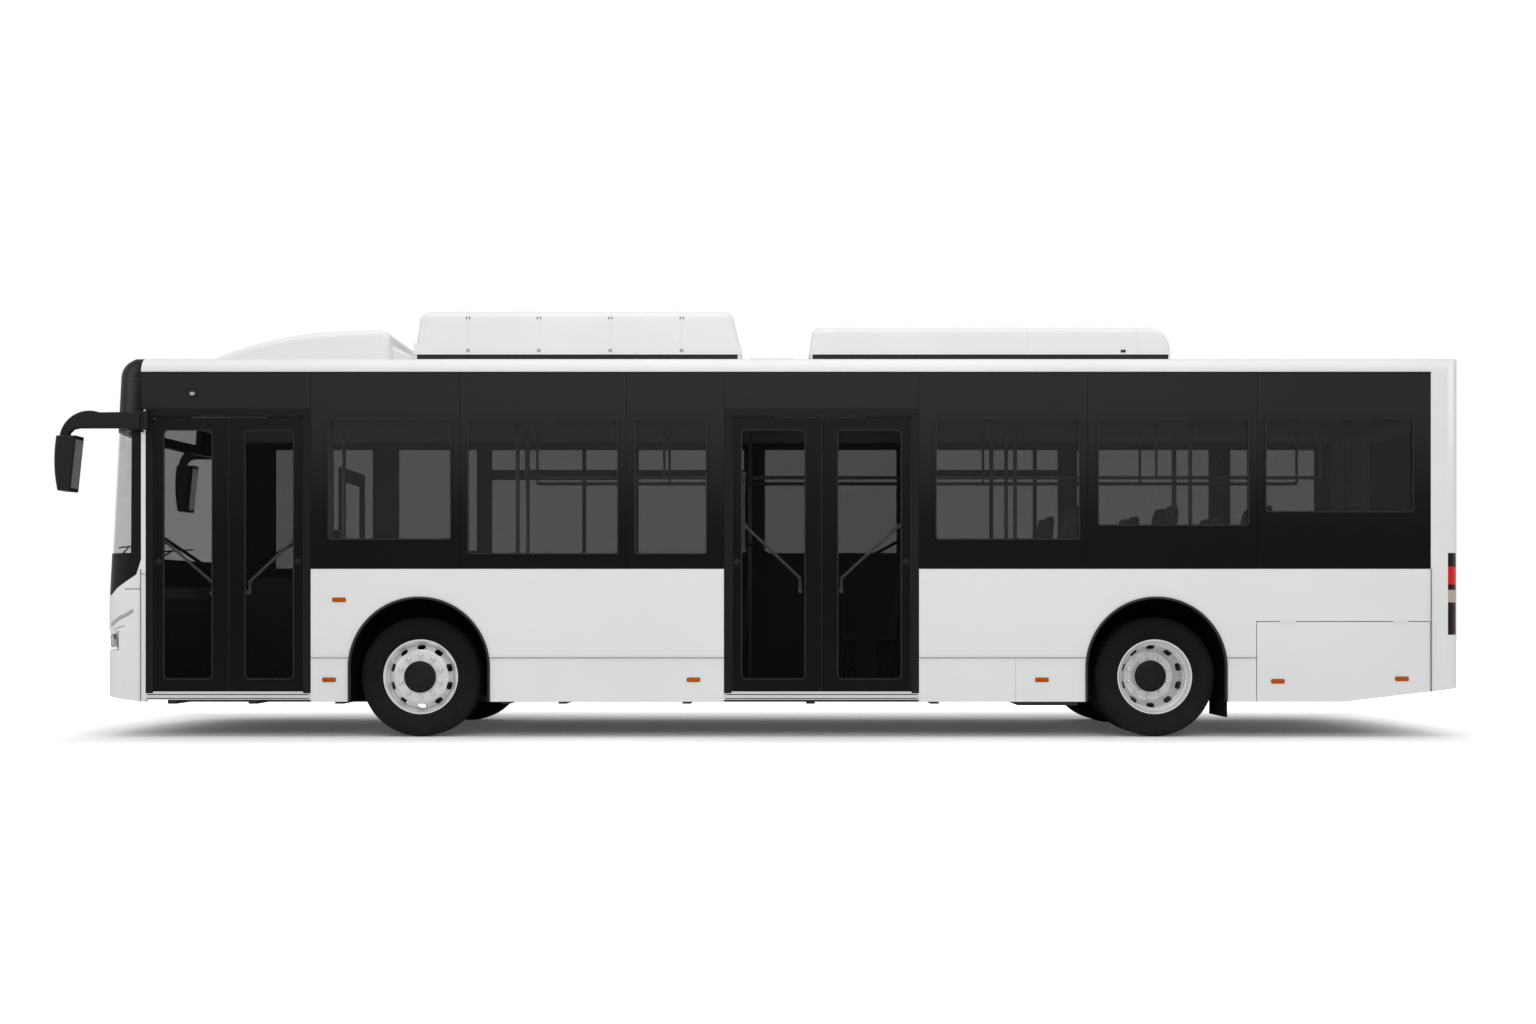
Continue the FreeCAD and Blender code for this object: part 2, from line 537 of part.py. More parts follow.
def wall_panel(x0, x1, z0, z1):
    """A panel on the door side, rebated round its outer edge to leave half a shut line."""
    g = PANEL_GAP / 2
    skin = box(x0 + g, x1 - g, -HALF, -HALF + PANEL_SKIN, z0 + g, z1 - g)
    return skin.fuse(box(x0, x1, -HALF + PANEL_SKIN, -INNER, z0, z1))


def lower_walls():
    """White panels below the waist, with the wheel openings and the service flap's place."""
    door_side = ((PORTALS[0][1], PORTALS[1][0]), (PORTALS[1][1], REAR_SEAM_X))
    far_side = ((FRONT_SEAM_X, REAR_SEAM_X),)
    openings = [side_prism(arch(x, ARCH_R, 0), -HALF - 50, HALF + 50) for x in (0, WHEELBASE)]
    flap_hole = box(FLAP_X[0] - FLAP_GAP, REAR_SEAM_X + 5, -HALF - 50, -INNER + 50, 0, FLAP_TOP_Z + FLAP_GAP)
    tail = side_prism([(TAIL_RISE_X, 0), (REAR_X, 0), (REAR_X, tail_z(REAR_X)), (TAIL_RISE_X, SKIRT_Z)],
                      -BEYOND, BEYOND)
    fixed_knuckles, moving_knuckles = flap_hinges()
    for name, runs, flip in (("lower_wall_left", door_side, False), ("lower_wall_right", far_side, True)):
        solids = []
        for x0, x1 in runs:
            upper = wall_panel(x0, x1, SPLIT_Z, WAIST_Z).cut(openings)
            if not flip and x1 == REAR_SEAM_X:
                upper = fused([upper.cut(flap_hole)] + fixed_knuckles)
            solids.append(upper)
            breaks = [x0] + [b for b in (SKIRT_BREAK_X, FLAP_X[0]) if x0 < b < x1] + [x1]
            for a, b in zip(breaks, breaks[1:]):
                if flip or b < x1 or b < FLAP_X[0]:
                    solids.append(wall_panel(a, b, SKIRT_Z, SPLIT_Z).cut(openings + [tail]))
        if flip:
            solids = [mirrored(s) for s in solids]
        else:
            solids = [s.cut(flap_hole) if s.BoundBox.XMax > FLAP_X[0] - 10 and s.BoundBox.ZMax < WAIST_Z - 50
                      else s for s in solids]
            solids.append(box(FRONT_SEAM_X, PORTALS[0][0], -HALF, -INNER, SKIRT_Z, SEAM_STRIP_TOP))
        export(name, solids)
    x0, x1 = FLAP_X[0], FLAP_X[1] - FLAP_GAP
    flap = side_prism([(x0, SKIRT_Z), (TAIL_RISE_X, SKIRT_Z), (x1, tail_z(FLAP_X[1])), (x1, FLAP_TOP_Z),
                       (x0, FLAP_TOP_Z)], -HALF, -INNER)
    export("service_flap", [fused([flap] + moving_knuckles)])


def upper_walls():
    """Black window bands, one framed panel for each window, and the panes."""
    head_z = PORTAL_HEAD_Z + PORTAL_HEAD_H
    panes = []
    for name, band, windows, flip in (("upper_wall_left", LEFT_BAND, LEFT_WINDOWS, False),
                                      ("upper_wall_right", RIGHT_BAND, RIGHT_WINDOWS, True)):
        solids = []
        for (x0, x1), (w0, w1, sill) in zip(band, windows):
            panel = wall_panel(x0, x1, WAIST_Z, CANT_Z)
            hole = side_prism(rounded(w0, w1, sill, WINDOW_TOP_Z, WINDOW_R), -HALF - 10, -INNER + 10)
            solids.append(panel.cut(hole))
            f = SEAT_FIT
            face = -HALF + GLASS_INSET
            pane = side_prism(rounded(w0 + f, w1 - f, sill + f, WINDOW_TOP_Z - f, WINDOW_R - f),
                              face, face + GLASS_T)
            panes.append(mirrored(pane) if flip else pane)
        if not flip:
            for x0, x1 in LEFT_HEADS:
                solids.append(wall_panel(x0, x1, head_z, CANT_Z))
        export(name, [mirrored(s) for s in solids] if flip else solids)
    w_half, w_low, w_high = REAR_WINDOW
    face_x = REAR_X - GLASS_INSET
    y, low, high = w_half - SEAT_FIT, w_low + SEAT_FIT, w_high - SEAT_FIT
    panes.append(cross_prism(rounded(-y, y, low, high, WINDOW_R * 2 - SEAT_FIT), face_x - GLASS_T, face_x))
    export("body_windows", panes)


# ---------------------------------------------------------------- floor, frame and wheelhouses
WHEELHOUSE_IN = (WHEEL_Y - 508, WHEEL_Y - 478)   # inner faces of the front and rear wheelhouses
RAIL_Y = 420.0
RAIL = (70.0, 68.0)              # longitudinal rail: width, height
CROSS_H = 50.0                   # height of the cross members
FRONT_CROSS_X = (-2050.0, -1400.0, -700.0)
MIDDLE_CROSS_X = (640.0, 1100.0, 2100.0, 3100.0, 4100.0)
REAR_CROSS_X = tuple(WHEELBASE + x for x in (-1200.0, 620.0, 1400.0, 2000.0))
BATTERY_BOX_X = (WHEELBASE - 1100.0, WHEELBASE - 620.0)
ENGINE_X = (WHEELBASE + 1000.0, WHEELBASE + 2060.0)
TOW_EYE = (-2385.0, 17.5)        # station and radius of the front towing eye's hole
TOW_EYE_Z = (250.0, 290.0)


def floor_pieces():
    """The low floor, the steps, the raised rear floor and the wheelhouses."""
    side = INNER
    low = box(FRONT_SEAM_X, STEP_X, -side, side, FLOOR_Z - FLOOR_T, FLOOR_Z)
    nose_space = box(FRONT_X, FRONT_SEAM_X, -side, side, FLOOR_Z - FLOOR_T, FLOOR_Z)
    nose = front_form(WALL + LID_FIT).common(nose_space)
    low = fused([low, nose])
    cut_r = ARCH_R + LINER_GAP + LINER_T + 6
    front_in, rear_in = (y - 6 for y in WHEELHOUSE_IN)
    holes = []
    for x, y in ((0, front_in), (WHEELBASE, rear_in)):
        hole = box(x - cut_r, x + cut_r, y, HALF, -500, 1500)
        holes += [hole, mirrored(hole)]
    export("low_floor", [low.cut(holes)])
    rise = (REAR_FLOOR_Z - FLOOR_Z) / 2
    tread_z = FLOOR_Z + rise
    tread = STEP_X + STEP_DEPTH
    under, tread_under = REAR_FLOOR_Z - FLOOR_T, tread_z - FLOOR_T
    steps = [(STEP_X, FLOOR_Z - FLOOR_T), (STEP_X + FLOOR_T, FLOOR_Z - FLOOR_T),
             (STEP_X + FLOOR_T, tread_under), (tread + FLOOR_T, tread_under), (tread + FLOOR_T, under),
             (REAR_SEAM_X, under), (REAR_SEAM_X, REAR_FLOOR_Z), (tread, REAR_FLOOR_Z), (tread, tread_z),
             (STEP_X, tread_z)]
    export("raised_floor", [side_prism(steps, -side, side).cut(holes)])
    liners = []
    for x, inner in ((0, WHEELHOUSE_IN[0]), (WHEELBASE, WHEELHOUSE_IN[1])):
        r = ARCH_R + LINER_GAP
        outer = side_prism(arch(x, r + LINER_T, SKIRT_Z + 20), inner, side)
        inside = side_prism(arch(x, r, SKIRT_Z - 50), inner + LINER_T, HALF)
        axle_way = box(x - 190, x + 190, inner - 10, inner + LINER_T + 10, 0, 830)
        liner = outer.cut([inside, axle_way])
        liners += [liner, mirrored(liner)]
    flap_x = WHEELBASE + ARCH_R + LINER_GAP
    flap = box(flap_x - 8, flap_x, 60 - HALF, -WHEELHOUSE_IN[1] - 40, 154, ARCH_Z - 6)
    export("wheelhouses", liners + [flap, mirrored(flap)])


def frame_pieces():
    """Three ladder frames: under the entrance, between the axles and over the rear axle."""
    w, h = RAIL
    top, rear_top = FLOOR_Z - FLOOR_T, REAR_FLOOR_Z - FLOOR_T
    solids = []
    for x0, x1, z1, crossing in ((FRONT_SEAM_X + 80, -110, top, FRONT_CROSS_X),
                                 (110, STEP_X - 20, top, MIDDLE_CROSS_X),
                                 (STEP_X + 360, REAR_SEAM_X - 40, rear_top, REAR_CROSS_X)):
        members = [box(x0, x1, s * RAIL_Y - w / 2, s * RAIL_Y + w / 2, z1 - h, z1) for s in (-1, 1)]
        for x in crossing:
            members.append(box(x, x + w, -INNER + 60, INNER - 60, z1 - CROSS_H, z1))
        solids.append(fused(members))
    tow = TOW_EYE[0]
    plate = box(tow - 45, FRONT_SEAM_X + 90, -45, 45, *TOW_EYE_Z)
    beam = box(FRONT_SEAM_X + 20, FRONT_SEAM_X + 90, -RAIL_Y, RAIL_Y, 250, top)
    solids[0] = fused([solids[0], plate, beam])
    solids[0] = solids[0].cut(rod((tow, 0, 200), (tow, 0, 400), TOW_EYE[1]))
    solids.append(box(*BATTERY_BOX_X, -1180, -640, 250, rear_top))
    export("underframe", solids)


# ---------------------------------------------------------------- passenger doors
# An inward-gliding leaf: a turning post at the doorway's edge carries two arms, one under and one over the
# leaf. The arms hold the leaf at its pivot, and a roller near the closing edge runs in a straight track.
# Post to pivot and pivot to roller are the same length, so the leaf turns exactly twice as far on its
# pivot as the post turns, the other way.
DOOR_FACE_Y = -HALF + DOOR_RECESS
DOOR_PLANE_Y = DOOR_FACE_Y + DOOR_T / 2
DOORWAYS = (("front_door", FRONT_DOORWAY), ("middle_door", MIDDLE_DOORWAY))


def leaf_layout(doorway, side):
    """Stations along one leaf: post axis, outer edge, pivot, roller and closing edge."""
    x0, x1 = doorway
    edge = x0 if side > 0 else x1
    width = (x1 - x0 - DOOR_MEET_GAP) / 2 - DOOR_EDGE_GAP
    post = edge - side * DOOR_POST_SET
    outer = edge + side * DOOR_EDGE_GAP
    closing = outer + side * width
    roller = closing - side * DOOR_ROLLER_INSET
    return post, outer, (post + roller) / 2, roller, closing


def upright(x, z0, z1, r):
    """A vertical round bar in the plane of the doors."""
    return rod((x, DOOR_PLANE_Y, z0), (x, DOOR_PLANE_Y, z1), r)


def door_post(post, pivot):
    """The turning post with its two flat arms and the end pins it turns on."""
    lo, hi = LOWER_ARM[0] - 4, UPPER_ARM[1] + 4
    pieces = [upright(post, lo, hi, DOOR_POST_R),
              upright(post, lo - 20, lo, PIN_R),
              upright(post, hi, hi + 12, PIN_R)]
    for z0, z1 in (LOWER_ARM, UPPER_ARM):
        pieces.append(box(min(post, pivot), max(post, pivot), DOOR_PLANE_Y - 15, DOOR_PLANE_Y + 15, z0, z1))
        pieces.append(upright(post, z0, z1, 18))
        pieces.append(upright(pivot, z0, z1, 18))
    holes = [upright(pivot, z0 - 1, z1 + 1, PIN_R + PIN_CLEARANCE) for z0, z1 in (LOWER_ARM, UPPER_ARM)]
    return fused(pieces).cut(holes)


def door_leaf(layout, side):
    """One leaf's frame with its pivot pins, guide roller and grab rail, and its pane."""
    post, outer, pivot, roller, closing = layout
    x0, x1 = min(outer, closing), max(outer, closing)
    panel = box(x0, x1, DOOR_FACE_Y, DOOR_FACE_Y + DOOR_T, DOOR_BOTTOM_Z, DOOR_TOP_Z)
    near = DOOR_STILE if side > 0 else DOOR_CLOSING_STILE
    far = DOOR_CLOSING_STILE if side > 0 else DOOR_STILE
    z0, z1 = DOOR_BOTTOM_Z + DOOR_RAIL_H, DOOR_TOP_Z - DOOR_RAIL_H
    hole = side_prism(rounded(x0 + near, x1 - far, z0, z1, 40), DOOR_FACE_Y - 5, DOOR_FACE_Y + DOOR_T + 5)
    pieces = [panel.cut(hole),
              upright(pivot, LOWER_ARM[0] - 1, DOOR_BOTTOM_Z + 10, PIN_R),
              upright(pivot, DOOR_TOP_Z - 10, UPPER_ARM[1] + 1, PIN_R),
              upright(roller, DOOR_TOP_Z - 10, TRACK[0] + 4, 5),
              upright(roller, TRACK[0] + 2, TRACK[0] + 16, DOOR_ROLLER_R)]
    f = SEAT_FIT
    face = DOOR_FACE_Y + 6
    pane = side_prism(rounded(x0 + near + f, x1 - far - f, z0 + f, z1 - f, 40 - f), face, face + GLASS_T)
    inner = DOOR_FACE_Y + DOOR_T
    upper_x, lower_x = outer + side * DOOR_STILE / 2, closing - side * DOOR_CLOSING_STILE / 2
    rail = bent_rod([(upper_x, inner - 4, 1600), (upper_x, inner + 60, 1600), (lower_x, inner + 60, 1270),
                     (lower_x, inner - 4, 1270)], 13, 30)
    return fused(pieces + [rail]), pane


def door_pieces():
    """Both doorways: portal, sill, turning posts and the gliding leaves."""
    portals, sills = [], []
    for name, doorway in DOORWAYS:
        x0, x1 = doorway
        a, b = x0 - PORTAL_POST, x1 + PORTAL_POST
        top = PORTAL_HEAD_Z + PORTAL_HEAD_H
        frame = [box(a, x0, -HALF, -HALF + 8, SILL[1], top),
                 box(x1, b, -HALF, -HALF + 8, SILL[1], top),
                 box(a, a + 10, -HALF, -INNER, SILL[1], top),
                 box(b - 10, b, -HALF, -INNER, SILL[1], top),
                 box(a, b, -HALF, DOOR_FACE_Y, PORTAL_HEAD_Z, top),
                 box(a, b, -HALF, -INNER, TRACK[1], top)]
        sill = fused([box(a, b, -HALF, -INNER, SILL[0], SILL[1]),
                      box(x0, x1, -HALF, -HALF + 8, SILL[0], SILL[2])])
        bores = []
        posts = []
        for side, place in ((1, "fore"), (-1, "aft")):
            layout = leaf_layout(doorway, side)
            post = layout[0]
            posts.append(post)
            wall_x = a if side > 0 else b
            near_x = post + side * 18
            frame.append(box(min(wall_x, near_x), max(wall_x, near_x), DOOR_FACE_Y, -INNER - 2,
                             UPPER_ARM[1] + 6, UPPER_ARM[1] + 18))
            bores.append(upright(post, 300, 400, PIN_R + PIN_CLEARANCE))
            bores.append(upright(post, UPPER_ARM[1] + 2, UPPER_ARM[1] + 30, PIN_R + PIN_CLEARANCE))
            leaf, pane = door_leaf(layout, side)
            export(name + "_" + place + "_post", [door_post(post, layout[2])])
            export(name + "_" + place + "_leaf", [leaf])
            export(name + "_" + place + "_glass", [pane])
            print("joint", name, place, "post", post - ORIGIN_X, "pivot", layout[2] - ORIGIN_X, DOOR_PLANE_Y)
        track = box(posts[0] + 30, posts[1] - 30, DOOR_FACE_Y, -INNER - 2, *TRACK)
        slot = box(posts[0] + 36, posts[1] - 36, DOOR_PLANE_Y - DOOR_ROLLER_R - 1,
                   DOOR_PLANE_Y + DOOR_ROLLER_R + 1, TRACK[0] - 5, TRACK[1] - 8)
        portals.append(fused(frame).cut(bores))
        portals.append(track.cut(slot))
        sills.append(sill.cut(bores))
    export("door_portals", portals)
    export("door_sills", sills)


# ---------------------------------------------------------------- running gear
SPINDLE_R = 40.0
JACK_Y = 380.0                   # jacking pads under both axles
JACK_FRONT_Z = 188.0
JACK_REAR_Z = 390.0
HUB_CAP_R = 128.0
RIM_WELL_R = 258.0               # inside of the rim's well
HAND_HOLE = (66.0, 34.0, 236.0)  # length along the rim, width, circle's radius
HAND_HOLES = 10
FRONT_CAP = 142.0                # the hub caps' outer faces, outward from the tyre's centre plane
REAR_CAP = -46.0


def tyre(y, out):
    """A tyre whose centre plane is at y; the profile is (radius, distance) round one section."""
    w, r = TYRE_W / 2, TYRE_R
    profile = [(RIM_SEAT_R, -95), (RIM_R, -103), ((390, -w), (450, -w + 14)), ((474, -112), (r, -92)),
               (r, 92), ((474, 112), (450, w - 14)), ((390, w), (RIM_R, 103)), (RIM_SEAT_R, 95)]
    return spun([flip(p, out) for p in profile], 0, y, 0)


def flip(item, out):
    """Turns a profile item's distance to the outward side of its wheel."""
    if isinstance(item[0], tuple):
        return tuple((r, d * out) for r, d in item)
    return (item[0], item[1] * out)


def rim(y, out):
    """A drop-centre rim barrel."""
    well, bead = RIM_WELL_R, RIM_SEAT_R - 10
    profile = [(RIM_R, 111), (RIM_R, 103), (RIM_SEAT_R, 95), (RIM_SEAT_R, 62), (well + 10, 44),
               (well + 10, -30), (RIM_SEAT_R, -62), (RIM_SEAT_R, -95), (RIM_R, -103), (RIM_R, -111),
               (RIM_R - 11, -111), (bead, -92), (bead, -66), (well, -34), (well, 48), (bead, 66), (bead, 92),
               (RIM_R - 11, 111)]
    return spun([flip(p, out) for p in profile], 0, y, 0)


# wheel discs as (radius, distance outward from the rim's centre plane)
DISC_R = RIM_WELL_R + 4
FRONT_DISC = ((DISC_R, 8), (DISC_R, 32), (250, 60), (222, 98), (200, 112), (60, 112), (60, 98), (194, 98),
              (212, 88), (238, 54), (DISC_R - 12, 8))
FRONT_FACE = 112.0
REAR_FACE = 14 - TWIN_PITCH / 2  # the rear discs meet back to back, halfway between the twin tyres
REAR_DISC = ((DISC_R, -6), (DISC_R, -30), (248, -66), (220, -106), (212, REAR_FACE - 14),
             (60, REAR_FACE - 14), (60, REAR_FACE), (198, REAR_FACE), (208, -100), (236, -58),
             (DISC_R - 12, -6))
HUB_R = 138.0


def wheel(x, y, out, disc, face, cap_d):
    """A rim with its disc, hand holes and hub; face is the disc's outer face, cap_d the hub cap's."""
    dish = spun([flip(p, out) for p in disc], 0, y, 0)
    length, width, circle = HAND_HOLE
    slot = rounded(-length / 2, length / 2, circle - width / 2, circle + width / 2, width / 2 - 1)
    holes = []
    for n in range(HAND_HOLES):
        hole = side_prism(slot, y - 200, y + 200)
        hole.rotate(V(0, 0, 0), V(0, 1, 0), 360 * n / HAND_HOLES)
        holes.append(hole)
    solids = [fused([rim(y, out), dish.cut(holes)])]
    bore_r = SPINDLE_R + PIN_CLEARANCE
    cap = [(bore_r, face - 60), (HUB_R, face - 60), (HUB_R, face), (HUB_CAP_R + 8, face + 4),
           (HUB_CAP_R, cap_d - 14), (HUB_CAP_R - 14, cap_d), (0, cap_d), (0, cap_d - 20),
           (bore_r, cap_d - 20)]
    solids.append(spun([flip(p, out) for p in cap], 0, y, 0))
    joined = fused(solids)
    joined.translate(V(x, 0, TYRE_R))
    return joined


def placed(shape, x):
    """Moves a wheel piece from the model's origin to its axle."""
    shape.translate(V(x, 0, TYRE_R))
    return shape


def wheel_pieces():
    """Front wheels, and rear pairs bolted face to face."""
    for name, s in (("left", -1), ("right", 1)):
        y = s * WHEEL_Y
        inner_y = s * (WHEEL_Y - TWIN_PITCH)
        export("front_tyre_" + name, [placed(tyre(y, s), 0)])
        export("front_wheel_" + name, [wheel(0, y, s, FRONT_DISC, FRONT_FACE, FRONT_CAP)])
        export("rear_tyres_" + name, [placed(tyre(y, s), WHEELBASE), placed(tyre(inner_y, s), WHEELBASE)])
        inner_disc = spun([flip(p, -s) for p in REAR_DISC], 0, inner_y, 0)
        inner_disc = inner_disc.cut(rod((0, inner_y - 300, 0), (0, inner_y + 300, 0), HUB_R + SEAT_FIT))
        inner_rim = fused([rim(inner_y, -s), inner_disc])
        outer = wheel(WHEELBASE, y, s, REAR_DISC, REAR_FACE, REAR_CAP)
        export("rear_wheels_" + name, [outer, placed(inner_rim, WHEELBASE)])


def axle_pieces():
    """The dropped front beam with its steering knuckles, and the rear axle."""
    z = TYRE_R
    half = KINGPIN_Y
    top = FLOOR_Z - FLOOR_T
    drop = WHEELHOUSE_IN[0] + 30
    outline = [(-half + 30, z - 35), (-drop - 160, z - 35), (-drop - 40, top - 110), (drop + 40, top - 110),
               (drop + 160, z - 35), (half - 30, z - 35), (half - 30, z + 35), (drop + 120, z + 35),
               (drop, top), (-drop, top), (-drop - 120, z + 35), (-half + 30, z + 35)]
    beam = cross_prism(outline, -45, 45)
    eyes = [rod((0, s * half, z - 35), (0, s * half, z + 35), 45) for s in (-1, 1)]
    bores = [rod((0, s * half, z - 80), (0, s * half, z + 80), 20 + PIN_CLEARANCE) for s in (-1, 1)]
    pads = [box(-60, 60, s * 420 - 60, s * 420 + 60, top - 10, top) for s in (-1, 1)]
    pads += [rod((0, s * JACK_Y, JACK_FRONT_Z), (0, s * JACK_Y, 210), 50) for s in (-1, 1)]
    export("front_axle", [fused([beam] + eyes + pads).cut(bores)])
    for name, s in (("left", -1), ("right", 1)):
        fork = [rod((0, s * half, z - 72), (0, s * half, z - 37), 46),
                rod((0, s * half, z + 37), (0, s * half, z + 72), 46),
                rod((0, s * half, z - 72), (0, s * half, z + 72), 20)]
        web = [box(-46, 46, min(s * half, s * (half + 68)), max(s * half, s * (half + 68)), z + a, z + b)
               for a, b in ((-72, -37), (37, 72))]
        back = box(-46, 46, min(s * (half + 50), s * (half + 78)), max(s * (half + 50), s * (half + 78)),
                   z - 72, z + 72)
        brake = rod((0, s * (half + 60), z), (0, s * (half + 100), z), 190)
        spindle = rod((0, s * (half + 78), z), (0, s * (half + 262), z), SPINDLE_R)
        export("knuckle_" + name, [fused(fork + web + [back, brake, spindle])])
    tube = rod((WHEELBASE, -600, z), (WHEELBASE, 600, z), 70)
    gear_case = Part.makeSphere(190, V(WHEELBASE, 0, z))
    pieces = [tube, gear_case, rod((WHEELBASE, 0, z), (WHEELBASE + 420, 0, z), 60)]
    for s in (-1, 1):
        pieces.append(rod((WHEELBASE, s * 560, z), (WHEELBASE, s * (WHEEL_Y + REAR_CAP - 26), z), SPINDLE_R))
        pieces.append(rod((WHEELBASE, s * 640, z), (WHEELBASE, s * 760, z), 190))
        pieces.append(box(WHEELBASE - 60, WHEELBASE + 60, s * 420 - 60, s * 420 + 60, z + 40,
                          REAR_FLOOR_Z - FLOOR_T - 110))
        pieces.append(box(WHEELBASE - 50, WHEELBASE + 50, s * JACK_Y - 50, s * JACK_Y + 50, JACK_REAR_Z, z))
    export("rear_axle", [fused(pieces)])


# ---------------------------------------------------------------- interior
CEILING = (2604.0, 2616.0)
CAB_FLOOR_Z = 520.0
CAB_X = (-2160.0, -640.0)        # the driver's platform
CAB_Y = 340.0                    # its edge at the aisle
CAB_WALL_X = -1060.0             # the partition behind the driver
SEAT_W = 430.0
SEAT_GAP = 10.0                  # between neighbouring seats
SEAT_WALL_GAP = 14.0
SEAT_DEPTH = 420.0
DRIVER_SEAT_W = 480.0
DRIVER_Y = 650.0                 # centre line of the driver's seat and steering wheel
AISLE_Y = INNER - SEAT_WALL_GAP - 2 * SEAT_W - SEAT_GAP
POLE_Y = AISLE_Y - 26            # poles beside the pairs of seats
SEAT_TOP = 1096.0                # top of a backrest over its floor
REAR_ROW_X = WHEELBASE + 2250.0   # foot of the backrests of the last row
REAR_ROW_SEATS = 5
# passenger seats: (x of the backrest's foot, floor z, +1 or -1 side, seats side by side)
SEATS = ((1000, FLOOR_Z, -1, 2), (1760, FLOOR_Z, -1, 2), (1000, FLOOR_Z, 1, 2), (1760, FLOOR_Z, 1, 2),
         (2520, FLOOR_Z, 1, 1), (3900, FLOOR_Z, 1, 1))
REAR_ROWS_X = tuple(WHEELBASE + x for x in (-680.0, 80.0, 840.0, 1580.0))
SEATS += tuple((x, REAR_FLOOR_Z, side, 2) for side in (-1, 1) for x in REAR_ROWS_X)
# overhead grab bars and the stations of their hangers
RAIL_X = (720, 1900, 3300, WHEELBASE - 1200, WHEELBASE + 200, WHEELBASE + 1600)
RAIL_BAR_Y = 335.0
RAIL_BAR_Z = 2150.0
# upright grab poles: (x, y, floor z)
POLES = ((-880, -560, FLOOR_Z), (640, -POLE_Y, FLOOR_Z), (2470, -420, FLOOR_Z), (4010, -420, FLOOR_Z),
         (-1000, 300, FLOOR_Z), (640, POLE_Y, FLOOR_Z), (2620, 380, FLOOR_Z), (4000, 380, FLOOR_Z))
POLES += tuple((WHEELBASE + x, y, REAR_FLOOR_Z) for x in (-1000, 500) for y in (-POLE_Y, POLE_Y))


def seat_shell(x, floor, y0):
    """One moulded seat: a cushion with a rounded front, and a leaning back with a grip hole."""
    y1 = y0 + SEAT_W
    seat = side_prism([(x - SEAT_DEPTH + 30, floor + 402), (x, floor + 402), (x, floor + 448),
                       (x - SEAT_DEPTH + 60, floor + 462), ((x - SEAT_DEPTH + 8, floor + 452),
                                                            (x - SEAT_DEPTH, floor + 424))], y0, y1)
    lean = [(x, floor + 402), (x + 44, floor + 402), (x + 126, floor + SEAT_TOP), (x + 92, floor + SEAT_TOP),
            (x, floor + 480)]
    middle, r = (y0 + y1) / 2, 110
    top = floor + SEAT_TOP
    k = r * (1 - math.sqrt(0.5))
    face = cross_prism([(y0, floor + 400), (y1, floor + 400), (y1 - 24, top - r), ((y1 - 24 - k, top - k),
                                                                                 (y1 - 24 - r, top)),
                        (y0 + 24 + r, top), ((y0 + 24 + k, top - k), (y0 + 24, top - r))], x - 10, x + 200)
    grip = cross_prism(rounded(middle - 62, middle + 62, top - 84, top - 42, 20), x - 10, x + 200)
    return [seat, side_prism(lean, y0, y1).common(face).cut(grip)]


def bus_seat(x, floor, side, count):
    """A pair or single seat facing forward on one pedestal."""
    width = SEAT_W * count + SEAT_GAP * (count - 1)
    wall_y = side * (INNER - SEAT_WALL_GAP)
    inner_y = wall_y - side * width
    y0, y1 = min(wall_y, inner_y), max(wall_y, inner_y)
    foot_y = side * (AISLE_Y + 154) if count == 2 else wall_y - side * SEAT_W / 2
    foot = box(x - 300, x - 120, foot_y - 40, foot_y + 40, floor, floor + 392)
    tie = box(x - 300, x - 120, y0, y1, floor + 390, floor + 402)
    solids = [fused([foot, tie])]
    for n in range(count):
        solids += seat_shell(x, floor, y0 + n * (SEAT_W + SEAT_GAP))
    return solids


def driver_seat(x, floor):
    """The driver's seat: a pedestal with its pan and back frame, and the soft pads on them."""
    y0, y1 = DRIVER_Y - DRIVER_SEAT_W / 2, DRIVER_Y + DRIVER_SEAT_W / 2
    pan_z = floor + 372
    pedestal = box(x - 370, x - 110, DRIVER_Y - 110, DRIVER_Y + 110, floor, pan_z - 20)
    base = fused([pedestal, box(x - 470, x + 10, y0 + 20, y1 - 20, pan_z - 22, pan_z)])
    frame = side_prism([(x + 10, pan_z - 22), (x + 60, pan_z - 22), (x + 196, floor + 1120),
                        (x + 166, floor + 1120), (x + 10, pan_z + 60)], y0 + 20, y1 - 20)
    cushion = box(x - 480, x - 40, y0, y1, pan_z, pan_z + 104)
    cushion = cushion.makeFillet(34, cushion.Edges)
    back = side_prism([(x - 62, pan_z + 106), (x + 10 + 21, pan_z + 106), (x + 160, floor + 1080),
                       (x + 62, floor + 1080)], y0 + 10, y1 - 10)
    back = back.makeFillet(30, back.Edges)
    rest = side_prism([(x + 84, floor + 1090), (x + 160, floor + 1090), (x + 186, floor + 1250),
                       (x + 112, floor + 1250)], DRIVER_Y - 130, DRIVER_Y + 130)
    rest = rest.makeFillet(26, rest.Edges)
    stalks = [rod((x + 130, y, floor + 1060), (x + 150, y, floor + 1140), 7)
              for y in (DRIVER_Y - 60, DRIVER_Y + 60)]
    export("driver_seat", [fused([base, frame.cut(back)])])
    export("driver_seat_pads", [cushion, fused([back.cut(frame), rest] + stalks)])


